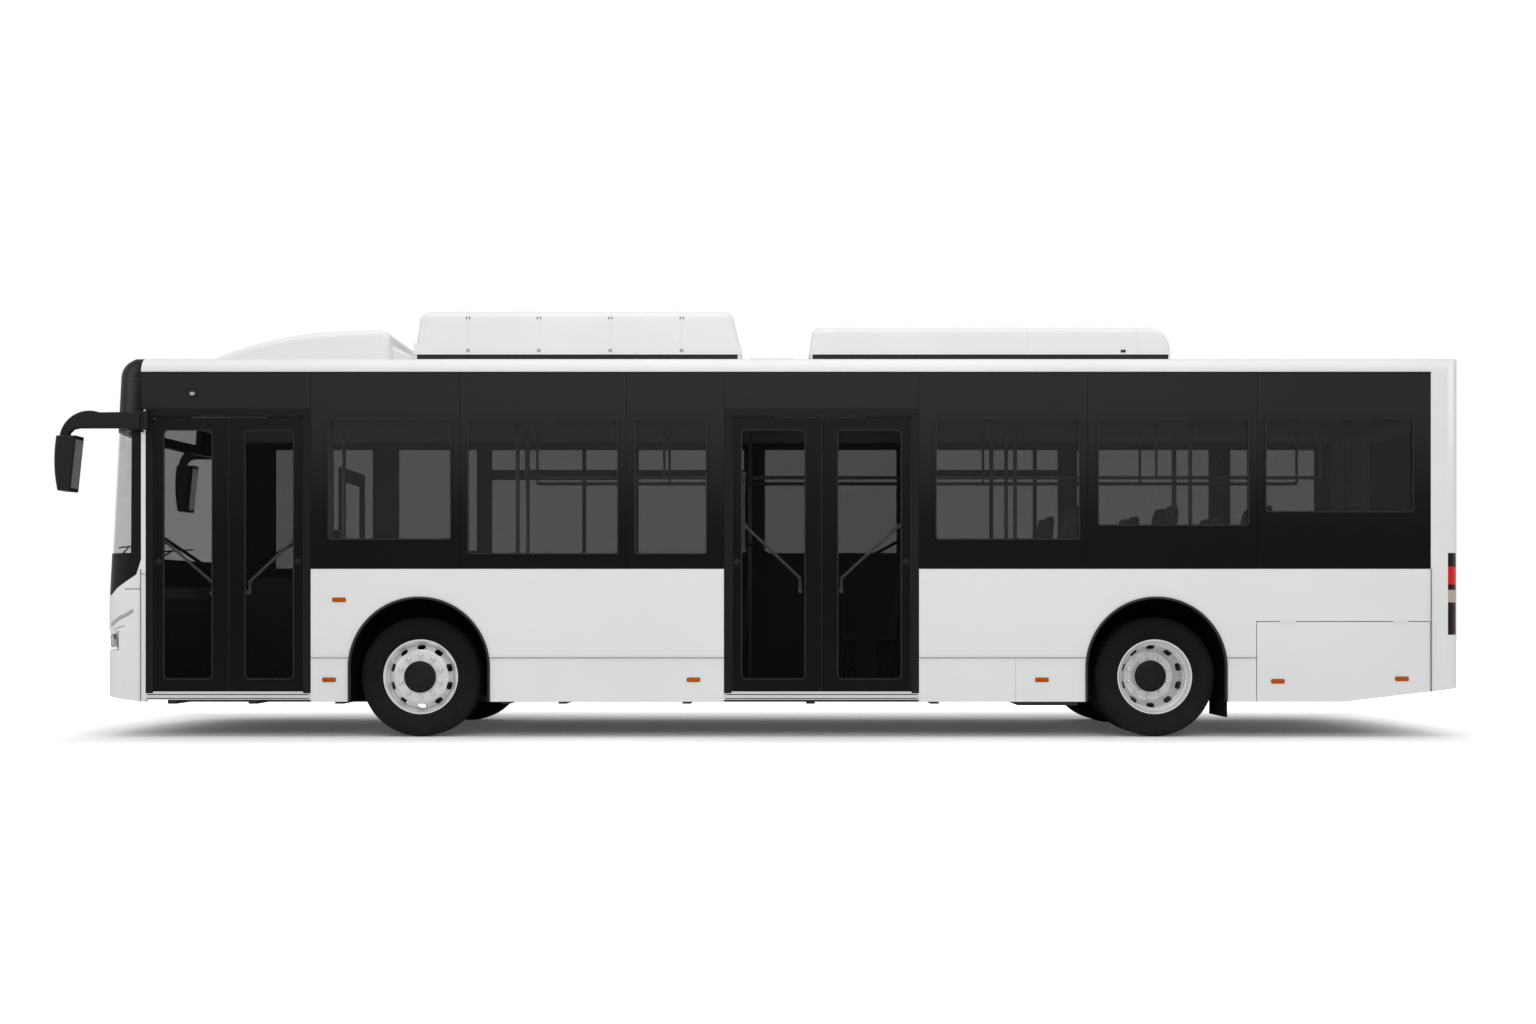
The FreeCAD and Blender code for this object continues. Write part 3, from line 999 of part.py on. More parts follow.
def interior_pieces():
    """Ceiling, seats, poles, the driver's cab and its partition."""
    side = INNER
    ceiling = box(FRONT_SEAM_X, REAR_SEAM_X, -side, side, *CEILING)
    x0, x1, half, _ = HATCH_LID
    ceiling = ceiling.cut(box(x0 + 40, x1 - 40, -half + 40, half - 40, 2500, 2700))
    export("ceiling", [ceiling])
    seats = []
    for x, floor, s, count in SEATS:
        seats.extend(bus_seat(x, floor, s, count))
    first, last = REAR_ROW_X - SEAT_DEPTH + 60, REAR_ROW_X + 10
    half = REAR_ROW_SEATS * (SEAT_W + SEAT_GAP) / 2
    seats.append(box(first, last, -half, half, REAR_FLOOR_Z, REAR_FLOOR_Z + 402))
    for n in range(REAR_ROW_SEATS):
        seats += seat_shell(REAR_ROW_X, REAR_FLOOR_Z, (n + 0.5) * (SEAT_W + SEAT_GAP) - SEAT_W / 2 - half)
    export("passenger_seats", seats)
    poles = [rod((x, y, z), (x, y, CEILING[0]), 17) for x, y, z in POLES]
    for s in (-1, 1):
        bars = [rod((RAIL_X[0], s * RAIL_BAR_Y, RAIL_BAR_Z), (RAIL_X[-1], s * RAIL_BAR_Y, RAIL_BAR_Z), 15)]
        for x in RAIL_X:
            bars.append(rod((x, s * RAIL_BAR_Y, RAIL_BAR_Z), (x, s * RAIL_BAR_Y, CEILING[0]), 12))
        poles.append(fused(bars))
    export("grab_poles", poles)
    floor = CAB_FLOOR_Z
    platform = box(*CAB_X, CAB_Y, INNER - 6, FLOOR_Z, floor)
    desk = side_prism([(-2540, FLOOR_Z), (-2180, FLOOR_Z), (-2180, 980), (-2240, 1120), (-2470, 1220),
                       (-2540, 1180)], -860, 860)
    desk = desk.common(front_form(WALL + 14).fuse(box(FRONT_SEAM_X - 2, -2100, -860, 860, 300, 1300)))
    binnacle = side_prism([(-2330, 1060), (-2040, 1010), (-2040, 1060), (-2330, 1230)], DRIVER_Y - 270,
                          DRIVER_Y + 270)
    base, wheel_at = (-2190, DRIVER_Y, 600), (-1960, DRIVER_Y, 1214)
    column = rod(base, wheel_at, 32)
    console = box(-2330, -2140, DRIVER_Y - 170, DRIVER_Y + 170, floor, 1090)
    export("dashboard", [fused([desk, binnacle, console]).cut(rod(base, wheel_at, 32 + SEAT_FIT))])
    ring = Part.makeTorus(215, 15, V(0, 0, 0), V(0, 0, 1))
    hub = Part.makeCylinder(46, 30, V(0, 0, -25))
    spokes = [rod((0, 0, -10), (210 * math.cos(a), 210 * math.sin(a), 0), 12)
              for a in (math.pi / 2, math.pi * 7 / 6, math.pi * 11 / 6)]
    rim_piece = fused([ring, hub] + spokes)
    rim_piece.rotate(V(0, 0, 0), V(0, 1, 0), 20)
    rim_piece.translate(V(-1955, DRIVER_Y, 1228))
    export("steering_wheel", [fused([column, rim_piece])])
    driver_seat(-1300, floor)
    wall = box(CAB_WALL_X, CAB_WALL_X + 30, CAB_Y, INNER - 6, floor, 2300)
    window = box(CAB_WALL_X - 40, CAB_WALL_X + 60, CAB_Y + 80, INNER - 110, 1300, 2180)
    gate = box(CAB_WALL_X - 840, CAB_WALL_X - 2, CAB_Y, CAB_Y + 26, floor, 1300)
    export("driver_cab", [platform, wall.cut(window), gate])


# ---------------------------------------------------------------- trim, lamps and mirrors
# side marker lamps: (x, z)
MARKERS = ((-640.0, 1098.0), (-720.0, 458.0), (2196.0, 458.0), (WHEELBASE - 916.0, 458.0))
FLAP_MARKERS = ((WHEELBASE + 972.0, 446.0), (WHEELBASE + 1964.0, 466.0))
MARKER = (104.0, 30.0, 9.0)      # length, height, how far it stands out


def marker(x, z, side):
    """One small side marker lamp."""
    w, h, t = MARKER
    lamp = box(x - w / 2, x + w / 2, -HALF - t, -HALF, z - h / 2, z + h / 2)
    return lamp if side < 0 else mirrored(lamp)


def trim_pieces():
    """Marker lamps and mirrors."""
    lamps = [marker(x, z, s) for x, z in MARKERS for s in (-1, 1)]
    lamps += [marker(x, z, 1) for x, z in FLAP_MARKERS]
    export("side_marker_lamps", lamps)
    export("flap_marker_lamps", [marker(x, z, -1) for x, z in FLAP_MARKERS])
    arm_y = [-HALF - out for out in MIRROR_ARM_OUT]
    arm = side_prism(MIRROR_ARM, *arm_y)
    arm = arm.makeFillet(16, edges_between(arm, *arm_y))
    x0, x1, z0, z1 = MIRROR_FOOT
    foot_y = -HALF - MIRROR_FOOT_OUT
    foot = box(x0, x1, foot_y, -HALF, z0, z1)
    foot = foot.makeFillet(20, [e for e in foot.Edges if e.BoundBox.YMax < foot_y + 1])
    head_y = (-HALF - MIRROR_OUT, -HALF - MIRROR_OUT + MIRROR_HEAD_W)
    head = side_prism(MIRROR_HEAD, *head_y)
    head = head.makeFillet(26, edges_between(head, *head_y))
    mirror = fused([arm, foot, head])
    export("mirrors", [mirror, mirrored(mirror)])


def drive_pieces():
    """The engine and gearbox as one plain block behind the rear axle, and the radiator beside it."""
    top = REAR_FLOOR_Z - FLOOR_T - CROSS_H
    x0, x1 = ENGINE_X
    engine = box(x0, x1, -380, 380, 360, top)
    shaft = rod((WHEELBASE + 420 + LID_FIT, 0, TYRE_R), (x0 + 1, 0, TYRE_R), 60)
    radiator = box(x0 + 100, x1, -1130, -640, 420, top)
    export("drive_unit", [fused([engine, shaft]), radiator])


# ---------------------------------------------------------------- build
os.makedirs("parts", exist_ok=True)
front_pieces()
rear_pieces()
roof_pieces()
lower_walls()
upper_walls()
floor_pieces()
frame_pieces()
door_pieces()
wheel_pieces()
axle_pieces()
interior_pieces()
trim_pieces()
drive_pieces()
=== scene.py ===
"""City bus: finishes, tyres, seats and small fittings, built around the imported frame."""
import logging
import math
from dataclasses import dataclass, field
from enum import Enum
from functools import lru_cache
from typing import Dict, Iterable, List, Optional, Sequence, Tuple

import bmesh
import bpy
from mathutils import Matrix, Vector
from mathutils.bvhtree import BVHTree


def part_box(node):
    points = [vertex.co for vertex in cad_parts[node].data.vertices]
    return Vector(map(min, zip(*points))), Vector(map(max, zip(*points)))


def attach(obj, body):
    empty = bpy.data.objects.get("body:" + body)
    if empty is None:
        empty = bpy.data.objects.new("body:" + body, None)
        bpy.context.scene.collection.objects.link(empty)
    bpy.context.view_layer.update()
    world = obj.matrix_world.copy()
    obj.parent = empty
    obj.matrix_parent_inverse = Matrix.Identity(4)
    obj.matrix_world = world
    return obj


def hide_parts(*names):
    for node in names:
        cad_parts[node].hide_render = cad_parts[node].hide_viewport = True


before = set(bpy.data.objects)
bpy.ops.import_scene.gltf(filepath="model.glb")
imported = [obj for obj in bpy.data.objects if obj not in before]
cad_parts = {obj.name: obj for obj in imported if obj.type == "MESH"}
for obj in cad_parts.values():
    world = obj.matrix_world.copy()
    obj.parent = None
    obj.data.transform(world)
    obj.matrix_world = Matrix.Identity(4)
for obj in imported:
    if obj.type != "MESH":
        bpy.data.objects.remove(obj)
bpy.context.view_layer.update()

LOG = logging.getLogger("city_bus")
Pair = Tuple[float, float]
Point = Tuple[float, float, float]
Colour = Tuple[float, float, float]
Box = Tuple[Vector, Vector]
Shape = bmesh.types.BMesh
Tree = bpy.types.NodeTree
Socket = bpy.types.NodeSocket
RoundPart = Tuple[float, float, float, float, int, float]   # start, end, first and last radius, sides, bevel

MERGE = 1e-5                # corners closer than this are one
SPIN_MERGE = 1e-6           # the same, while a profile is spun
BEVEL_STEPS = 2
LEAST_RADIUS = 0.002        # of a frame's inner corners
RIBBON_ROOT = 0.001         # how far a ribbon's middle reaches into the surface under it
FAR_ASIDE = 5.0             # rays that look for the sides start at this Y
FAR_AHEAD = -9.0            # and those that look for the front at this X
COAT_ROUGHNESS = 0.06
RELIEF_DEPTH = 0.002
REAR_PANE_WIDTH = 0.1       # a pane wider than this along Y is the rear window
RIBBON = ((-0.5, 0), (-0.25, 0.75), (0, 1), (0.25, 0.75), (0.5, 0))     # shares of a ribbon's width and crown


class Side(Enum):
    """The two sides of the bus, with the sign of their Y."""

    DOORS = -1
    DRIVER = 1

    @property
    def word(self) -> str:
        """The side's word in the names of the CAD nodes and bodies."""
        return "left" if self is Side.DOORS else "right"


class Surface(Enum):
    """What a finish's fine relief looks like."""

    ORANGE_PEEL = "orange_peel"
    MOULDED = "moulded"
    WOVEN = "woven"
    CAST = "cast"
    BRUSHED = "brushed"


# ---------------------------------------------------------------- shared shader groups
VECTOR, COLOUR, NUMBER = "NodeSocketVector", "NodeSocketColor", "NodeSocketFloat"
PALE = (0.8, 0.8, 0.8, 1)


def set_inputs(tree: Tree, node: bpy.types.Node, inputs: Dict[object, object]) -> None:
    """Sets or joins a node's inputs.

    Args:
        tree: the node tree.
        node: the node.
        inputs: a value or another node's socket for each input, by the input's name or place.
    """
    for label, value in inputs.items():
        if isinstance(value, Socket):
            tree.links.new(value, node.inputs[label])
        else:
            node.inputs[label].default_value = value


def add_node(tree: Tree, kind: str, inputs: Optional[Dict[object, object]] = None,
             **settings: object) -> bpy.types.Node:
    """Adds a node to a tree.

    Args:
        tree: the node tree.
        kind: the node's type, without its first word ShaderNode.
        inputs: its inputs, as for set_inputs.
        settings: its own properties.

    Returns:
        The new node.
    """
    node = tree.nodes.new("ShaderNode" + kind)
    for label, value in settings.items():
        setattr(node, label, value)
    set_inputs(tree, node, inputs or {})
    return node


def math_node(tree: Tree, operation: str, a: object, b: object = None, clamp: bool = False) -> Socket:
    """Adds a Math node and joins or sets its two inputs.

    Args:
        tree: the node tree.
        operation: the Math node's operation.
        a: a socket or a number.
        b: a socket, a number or nothing.
        clamp: whether the result is held between 0 and 1.

    Returns:
        The output socket.
    """
    inputs = {0: a} if b is None else {0: a, 1: b}
    return add_node(tree, "Math", inputs, operation=operation, use_clamp=clamp).outputs[0]


def mix_colours(tree: Tree, mask: Socket, first: Socket, second: Socket) -> Socket:
    """The colour between two others that a mask picks."""
    return add_node(tree, "MixRGB", {"Fac": mask, "Color1": first, "Color2": second}).outputs["Color"]


def new_group(name: str, inputs: Dict[str, Tuple[str, object]]) -> Tuple[Tree, object]:
    """Makes a shader group with its inputs.

    Args:
        name: the group's name.
        inputs: the kind of each input socket, and its default value or nothing.

    Returns:
        The node tree and the sockets of its input node.
    """
    tree = bpy.data.node_groups.new(name, "ShaderNodeTree")
    for label, (kind, default) in inputs.items():
        socket = tree.interface.new_socket(label, in_out="INPUT", socket_type=kind)
        if default is not None:
            socket.default_value = default
    return tree, tree.nodes.new("NodeGroupInput").outputs


def close_group(tree: Tree, **outputs: Socket) -> Tree:
    """Gives a shader group its outputs.

    Args:
        tree: the group's node tree.
        outputs: the socket behind each output. Colour is a colour and every other output a number.

    Returns:
        The node tree.
    """
    for label in outputs:
        tree.interface.new_socket(label, in_out="OUTPUT", socket_type=COLOUR if label == "Colour" else NUMBER)
    set_inputs(tree, tree.nodes.new("NodeGroupOutput"), outputs)
    return tree


def cloud_group() -> Tree:
    """Makes the group that drifts a colour between two shades and varies roughness with it.

    Returns:
        The node group, with Colour, Roughness and Mask out.
    """
    tree, given = new_group("SoftClouds", {
        "Vector": (VECTOR, None), "Colour": (COLOUR, PALE), "Shade": (COLOUR, PALE), "Scale": (NUMBER, 1.3),
        "Amount": (NUMBER, 0.6), "Roughness": (NUMBER, 0.4), "Spread": (NUMBER, 0.1)})
    noise = add_node(tree, "TexNoise", {"Vector": given["Vector"], "Scale": given["Scale"], "Detail": 5})
    ramp = add_node(tree, "MapRange", {"Value": noise.outputs["Fac"], "From Min": 0.35, "From Max": 0.7})
    drift = ramp.outputs["Result"]
    mask = math_node(tree, "MULTIPLY", drift, given["Amount"], True)
    swing = math_node(tree, "MULTIPLY", drift, given["Spread"])
    return close_group(tree, Colour=mix_colours(tree, mask, given["Colour"], given["Shade"]),
                       Roughness=math_node(tree, "ADD", swing, given["Roughness"], True), Mask=mask)


def dust_group() -> Tree:
    """Makes the group that lays road dust on the parts of a surface that are near the road.

    Returns:
        The node group, with Colour and Mask out.
    """
    tree, given = new_group("RoadDust", {
        "Vector": (VECTOR, None), "Colour": (COLOUR, PALE), "Dust": (COLOUR, (0.35, 0.32, 0.28, 1)),
        "Top": (NUMBER, 0.9), "Amount": (NUMBER, 0.2)})
    split = add_node(tree, "SeparateXYZ", {0: given["Vector"]})
    height = math_node(tree, "DIVIDE", split.outputs["Z"], given["Top"], True)
    low = math_node(tree, "SUBTRACT", 1.0, height, True)
    noise = add_node(tree, "TexNoise", {"Vector": given["Vector"], "Scale": 7.0, "Detail": 6.0})
    speckle = math_node(tree, "MULTIPLY", noise.outputs["Fac"], low)
    mask = math_node(tree, "MULTIPLY", speckle, given["Amount"], True)
    return close_group(tree, Colour=mix_colours(tree, mask, given["Colour"], given["Dust"]), Mask=mask)


def painted_reflection_group() -> Tree:
    """Makes the group that paints a reflection, turning one colour into another as a surface rises.

    Returns:
        The node group, with Colour and Mask out.
    """
    tree, given = new_group("PaintedReflectionByHeight", {
        "Vector": (VECTOR, None), "Colour": (COLOUR, PALE), "High": (COLOUR, PALE), "Bottom": (NUMBER, 0.0),
        "Top": (NUMBER, 1.0)})
    split = add_node(tree, "SeparateXYZ", {0: given["Vector"]})
    rise = add_node(tree, "MapRange", {"Value": split.outputs["Z"], "From Min": given["Bottom"],
                                       "From Max": given["Top"]}, interpolation_type="SMOOTHSTEP")
    mask = rise.outputs["Result"]
    return close_group(tree, Colour=mix_colours(tree, mask, given["Colour"], given["High"]), Mask=mask)


def relief_group(surface: Surface) -> Tree:
    """Makes the group that gives the height of one kind of fine relief.

    Args:
        surface: the kind of relief.

    Returns:
        The node group, with Vector and Scale in and Height out.
    """
    tree, given = new_group("Relief_" + surface.value, {"Vector": (VECTOR, None), "Scale": (NUMBER, 100.0)})
    place = {"Vector": given["Vector"], "Scale": given["Scale"]}
    if surface is Surface.WOVEN:
        waves = [add_node(tree, "TexWave", {**place, "Distortion": 0.4}, bands_direction=axis).outputs["Fac"]
                 for axis in ("X", "Z")]
        return close_group(tree, Height=math_node(tree, "MAXIMUM", *waves))
    if surface is Surface.MOULDED:
        return close_group(tree, Height=add_node(tree, "TexVoronoi", place).outputs["Distance"])
    if surface is Surface.BRUSHED:
        stretch = add_node(tree, "Mapping", {"Vector": given["Vector"], "Scale": (0.05, 1.0, 1.0)})
        place["Vector"] = stretch.outputs["Vector"]
    detail = 6.0 if surface is Surface.CAST else 2.0
    return close_group(tree, Height=add_node(tree, "TexNoise", {**place, "Detail": detail}).outputs["Fac"])


class ShaderKit:
    """The shared groups, each built once."""

    def __init__(self) -> None:
        """Builds the groups."""
        self.clouds = cloud_group()
        self.dust = dust_group()
        # The group that paints a reflection, lighter towards the top.
        self.fade = painted_reflection_group()
        self.relief = {surface: relief_group(surface) for surface in Surface}


KIT = ShaderKit()


@dataclass(frozen=True)
class Finish:
    """One surface finish, with relief as (kind, scale, strength) and a painted reflection as (bottom, top,
    colour) that lightens the colour towards the top.
    """

    name: str
    colour: Colour
    shade: Colour
    roughness: float = 0.4
    spread: float = 0.08
    metallic: float = 0.0
    specular: float = 0.5
    coat: float = 0.0
    alpha: float = 1.0
    glow: float = 0.0
    cloud_scale: float = 1.3
    dust: float = 0.0
    relief: Optional[Tuple[Surface, float, float]] = None
    fade: Optional[Tuple[float, float, Colour]] = None

    def build(self) -> bpy.types.Material:
        """Makes the material.

        Returns:
            The node material.
        """
        material = bpy.data.materials.new(self.name)
        material.use_nodes = True
        tree = material.node_tree
        place = add_node(tree, "TexCoord").outputs["Object"]
        clouds = add_node(tree, "Group", {
            "Vector": place, "Colour": (*self.colour, 1), "Shade": (*self.shade, 1),
            "Scale": self.cloud_scale, "Roughness": self.roughness, "Spread": self.spread},
            node_tree=KIT.clouds).outputs
        colour = clouds["Colour"]
        # Painted reflection: the colour turns lighter between two heights, as a glossy surface's reflection
        # would.
        if self.fade:
            bottom, top, high = self.fade
            colour = add_node(tree, "Group", {
                "Vector": place, "Colour": colour, "High": (*high, 1), "Bottom": bottom, "Top": top},
                node_tree=KIT.fade).outputs["Colour"]
        if self.dust:
            colour = add_node(tree, "Group", {"Vector": place, "Colour": colour, "Amount": self.dust},
                              node_tree=KIT.dust).outputs["Colour"]
        inputs = {"Base Color": colour, "Roughness": clouds["Roughness"], "Metallic": self.metallic,
                  "Specular IOR Level": self.specular, "Coat Weight": self.coat,
                  "Coat Roughness": COAT_ROUGHNESS, "Alpha": self.alpha}
        if self.glow:
            inputs.update({"Emission Color": (*self.colour, 1), "Emission Strength": self.glow})
        if self.relief:
            surface, scale, strength = self.relief
            relief = add_node(tree, "Group", {"Vector": place, "Scale": scale}, node_tree=KIT.relief[surface])
            inputs["Normal"] = add_node(tree, "Bump", {
                "Height": relief.outputs["Height"], "Strength": strength,
                "Distance": RELIEF_DEPTH}).outputs["Normal"]
        set_inputs(tree, tree.nodes["Principled BSDF"], inputs)
        return material


class Paint(Enum):
    """Every finish on the bus."""

    WHITE = Finish("WhitePaint", (0.80, 0.80, 0.80), (0.765, 0.765, 0.77), 0.28, 0.06, coat=0.5, dust=0.07,
                   relief=(Surface.ORANGE_PEEL, 90, 0.015))
    ROOF_WHITE = Finish("RoofPaint", (0.79, 0.79, 0.79), (0.74, 0.74, 0.745), 0.42, 0.08, coat=0.15,
                        relief=(Surface.ORANGE_PEEL, 70, 0.03))
    # The band's colour lightens from 1.5 m up to 2.75 m: a painted reflection on the glossy black.
    BAND = Finish("BlackBand", (0.0035, 0.0035, 0.0037), (0.0045, 0.0045, 0.0047), 0.34, 0.06, specular=0.08,
                  cloud_scale=0.8, relief=(Surface.ORANGE_PEEL, 80, 0.01),
                  fade=(1.5, 2.75, (0.021, 0.021, 0.0215)))
    FRONT_BLACK = Finish("FrontBlack", (0.008, 0.008, 0.0082), (0.010, 0.010, 0.0103), 0.3, 0.06,
                         specular=0.12, cloud_scale=0.8, relief=(Surface.ORANGE_PEEL, 80, 0.01))
    # The door frames' colour lightens from 1.4 m up to 2.6 m: a painted reflection.
    DOOR = Finish("BlackDoorFrame", (0.004, 0.004, 0.0042), (0.0055, 0.0055, 0.0057), 0.42, 0.08,
                  specular=0.06, dust=0.02, relief=(Surface.ORANGE_PEEL, 120, 0.02),
                  fade=(1.4, 2.6, (0.010, 0.010, 0.0102)))
    PORTAL = Finish("PortalBlack", (0.0075, 0.0075, 0.0077), (0.010, 0.010, 0.0102), 0.4, 0.08, specular=0.12,
                    dust=0.02, relief=(Surface.ORANGE_PEEL, 120, 0.02))
    GLASS = Finish("TintedGlass", (0.014, 0.0145, 0.015), (0.018, 0.0185, 0.019), 0.04, 0.02, specular=0.38,
                   alpha=0.505, cloud_scale=0.6)
    DOOR_GLASS = Finish("DoorGlass", (0.003, 0.003, 0.0032), (0.004, 0.004, 0.0042), 0.04, 0.02,
                        specular=0.06, alpha=0.50, cloud_scale=0.6)
    SCREEN_GLASS = Finish("ScreenGlass", (0.10, 0.11, 0.11), (0.13, 0.14, 0.14), 0.03, 0.02, alpha=0.22,
                          cloud_scale=0.6)
    CLEAR_LENS = Finish("ClearLens", (0.75, 0.77, 0.79), (0.68, 0.70, 0.72), 0.05, 0.02, alpha=0.38)
    LAMP_BASE = Finish("DarkRedLens", (0.014, 0.0015, 0.002), (0.009, 0.001, 0.0013), 0.2, 0.05, specular=0.2)
    RED_LENS = Finish("RedLens", (0.62, 0.006, 0.010), (0.45, 0.003, 0.005), 0.2, 0.05, specular=0.2,
                      glow=0.06, relief=(Surface.MOULDED, 140, 0.25))
    PALE_LENS = Finish("PaleLens", (0.46, 0.42, 0.35), (0.38, 0.35, 0.29), 0.2, 0.05, specular=0.3,
                       relief=(Surface.MOULDED, 140, 0.2))
    # Grey of the panel joint strips: painted shade of the joint grooves.
    SEAM = Finish("PaintedJointShade", (0.13, 0.13, 0.132), (0.10, 0.10, 0.102), 0.7, 0.08, specular=0.1)
    AMBER_LENS = Finish("AmberLens", (0.52, 0.095, 0.003), (0.40, 0.065, 0.002), 0.4, 0.06, specular=0.05,
                        relief=(Surface.MOULDED, 160, 0.2))
    TYRE = Finish("TyreRubber", (0.0048, 0.0048, 0.0048), (0.0075, 0.0075, 0.0073), 0.72, 0.12, specular=0.1,
                  dust=0.05, cloud_scale=6, relief=(Surface.CAST, 120, 0.12))
    # Rubber seals, and the dark strips at the roof units' feet that paint the shadow in the gap under them.
    RUBBER_AND_GAP_SHADE = Finish("SealRubberAndGapShade", (0.014, 0.014, 0.014), (0.022, 0.022, 0.022), 0.6, 0.1, specular=0.3,
                    relief=(Surface.CAST, 150, 0.05))
    PLASTIC = Finish("BlackPlastic", (0.009, 0.009, 0.0093), (0.012, 0.012, 0.0123), 0.5, 0.1, specular=0.2,
                     relief=(Surface.MOULDED, 420, 0.1))
    LINER = Finish("WheelhousePlastic", (0.004, 0.004, 0.004), (0.006, 0.006, 0.006), 0.78, 0.1, specular=0.1,
                   dust=0.04, relief=(Surface.CAST, 60, 0.2))
    CHASSIS = Finish("ChassisPaint", (0.010, 0.010, 0.0105), (0.016, 0.0155, 0.015), 0.6, 0.15, dust=0.1,
                     relief=(Surface.CAST, 90, 0.15))
    IRON = Finish("CastIron", (0.10, 0.10, 0.10), (0.14, 0.12, 0.11), 0.6, 0.15, metallic=0.6, dust=0.3,
                  relief=(Surface.CAST, 120, 0.3))
    RIM = Finish("SilverRim", (0.78, 0.785, 0.79), (0.68, 0.685, 0.69), 0.34, 0.1, metallic=0.5, dust=0.04,
                 cloud_scale=4, relief=(Surface.ORANGE_PEEL, 150, 0.05))
    CHROME = Finish("BrightSteel", (0.72, 0.72, 0.73), (0.60, 0.60, 0.61), 0.16, 0.08, metallic=1.0,
                    cloud_scale=9)
    HUB = Finish("HubCap", (0.0065, 0.0065, 0.0068), (0.009, 0.009, 0.009), 0.42, 0.1, specular=0.16,
                 dust=0.02)
    GASKET = Finish("DarkGasket", (0.03, 0.03, 0.031), (0.04, 0.04, 0.041), 0.6, 0.1, specular=0.2)
    # Grey of the trim pieces, and of the ribbons that paint the shade in the front's creases.
    GREY_TRIM_AND_CREASE_SHADE = Finish("GreyTrimAndCreaseShade", (0.40, 0.40, 0.405), (0.35, 0.35, 0.355), 0.45, 0.08, specular=0.3)
    SILL = Finish("SillAlloy", (0.70, 0.70, 0.70), (0.62, 0.62, 0.62), 0.42, 0.1, metallic=0.3,
                  relief=(Surface.BRUSHED, 500, 0.1))
    SIDE_LINING = Finish("DarkLining", (0.016, 0.016, 0.0165), (0.020, 0.020, 0.0205), 0.7, 0.08,
                         specular=0.1, relief=(Surface.MOULDED, 300, 0.06))
    FLOOR = Finish("FloorCovering", (0.10, 0.105, 0.11), (0.075, 0.08, 0.085), 0.7, 0.1, cloud_scale=40,
                   relief=(Surface.CAST, 300, 0.15))
    LINING = Finish("LightLining", (0.42, 0.42, 0.42), (0.37, 0.37, 0.37), 0.6, 0.08,
                    relief=(Surface.MOULDED, 300, 0.06))
    PANEL = Finish("CabPanel", (0.06, 0.06, 0.063), (0.08, 0.08, 0.082), 0.55, 0.08,
                   relief=(Surface.MOULDED, 350, 0.1))
    SEAT = Finish("SeatShell", (0.045, 0.047, 0.052), (0.06, 0.062, 0.066), 0.42, 0.1,
                  relief=(Surface.MOULDED, 380, 0.12))
    CLOTH = Finish("SeatCloth", (0.050, 0.055, 0.070), (0.075, 0.080, 0.095), 0.9, 0.05, specular=0.2,
                   cloud_scale=14, relief=(Surface.WOVEN, 90, 0.35))
    POLE = Finish("PoleSteel", (0.36, 0.36, 0.37), (0.30, 0.30, 0.31), 0.3, 0.1, metallic=0.8,
                  relief=(Surface.BRUSHED, 400, 0.1))
    RAIL = Finish("GrabRail", (0.82, 0.82, 0.82), (0.76, 0.76, 0.76), 0.35, 0.1, metallic=0.1)
    MIRROR = Finish("MirrorGlass", (0.8, 0.82, 0.84), (0.76, 0.78, 0.8), 0.02, 0.01, metallic=1.0)

    def material(self) -> bpy.types.Material:
        """The finish's material, made the first time it is asked for."""
        made = bpy.data.materials.get(self.value.name)
        return made or self.value.build()


# ---------------------------------------------------------------- mesh helpers
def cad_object(node: str) -> bpy.types.Object:
    """The Blender object of a CAD node."""
    return bpy.data.objects[node]


def dress(nodes: Iterable[str], paint: Paint) -> None:
    """Gives CAD nodes a finish.

    Args:
        nodes: the nodes' names.
        paint: their finish.
    """
    for node in nodes:
        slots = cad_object(node).material_slots
        if not slots:
            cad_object(node).data.materials.append(paint.material())
        for slot in slots:
            slot.material = paint.material()


def mesh_data(name: str, mesh: Shape) -> bpy.types.Mesh:
    """Turns a bmesh into mesh data.

    Args:
        name: the data's name.
        mesh: the bmesh, which is freed.

    Returns:
        The mesh data.
    """
    data = bpy.data.meshes.new(name)
    mesh.to_mesh(data)
    mesh.free()
    return data


def new_object(name: str, data: bpy.types.ID) -> bpy.types.Object:
    """Makes an object of some data and links it to the scene.

    Args:
        name: the object's name.
        data: its mesh, lamp or camera.

    Returns:
        The new object.
    """
    made = bpy.data.objects.new(name, data)
    bpy.context.scene.collection.objects.link(made)
    return made


def add_piece(name: str, mesh: Shape, paint: Paint, body: str,
              smooth_angle: float = 35.0) -> bpy.types.Object:
    """Turns a bmesh into a finished piece that rides on a body.

    Args:
        name: the piece's name.
        mesh: its shape, which is freed.
        paint: its finish.
        body: the body that carries it.
        smooth_angle: edges sharper than this many degrees stay sharp.

    Returns:
        The new object.
    """
    bmesh.ops.remove_doubles(mesh, verts=mesh.verts, dist=MERGE)
    bmesh.ops.recalc_face_normals(mesh, faces=mesh.faces)
    limit = math.radians(smooth_angle)
    for face in mesh.faces:
        face.smooth = True
    for edge in mesh.edges:
        edge.smooth = len(edge.link_faces) == 2 and edge.calc_face_angle(0.0) < limit
    piece = new_object(name, mesh_data(name, mesh))
    piece.data.materials.append(paint.material())
    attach(piece, body)
    LOG.info("piece %s: %d faces on %s", name, len(piece.data.polygons), body)
    return piece


def edges_of(verts: Iterable[bmesh.types.BMVert]) -> List[bmesh.types.BMEdge]:
    """The edges that meet any of some corners, each once and in a steady order."""
    return list(dict.fromkeys(edge for vert in verts for edge in vert.link_edges))


def round_edges(mesh: Shape, edges: Sequence[bmesh.types.BMEdge], radius: float) -> None:
    """Bevels edges with a radius."""
    bmesh.ops.bevel(mesh, geom=edges, offset=radius, segments=BEVEL_STEPS, affect="EDGES", profile=0.5,
                    material=-1)


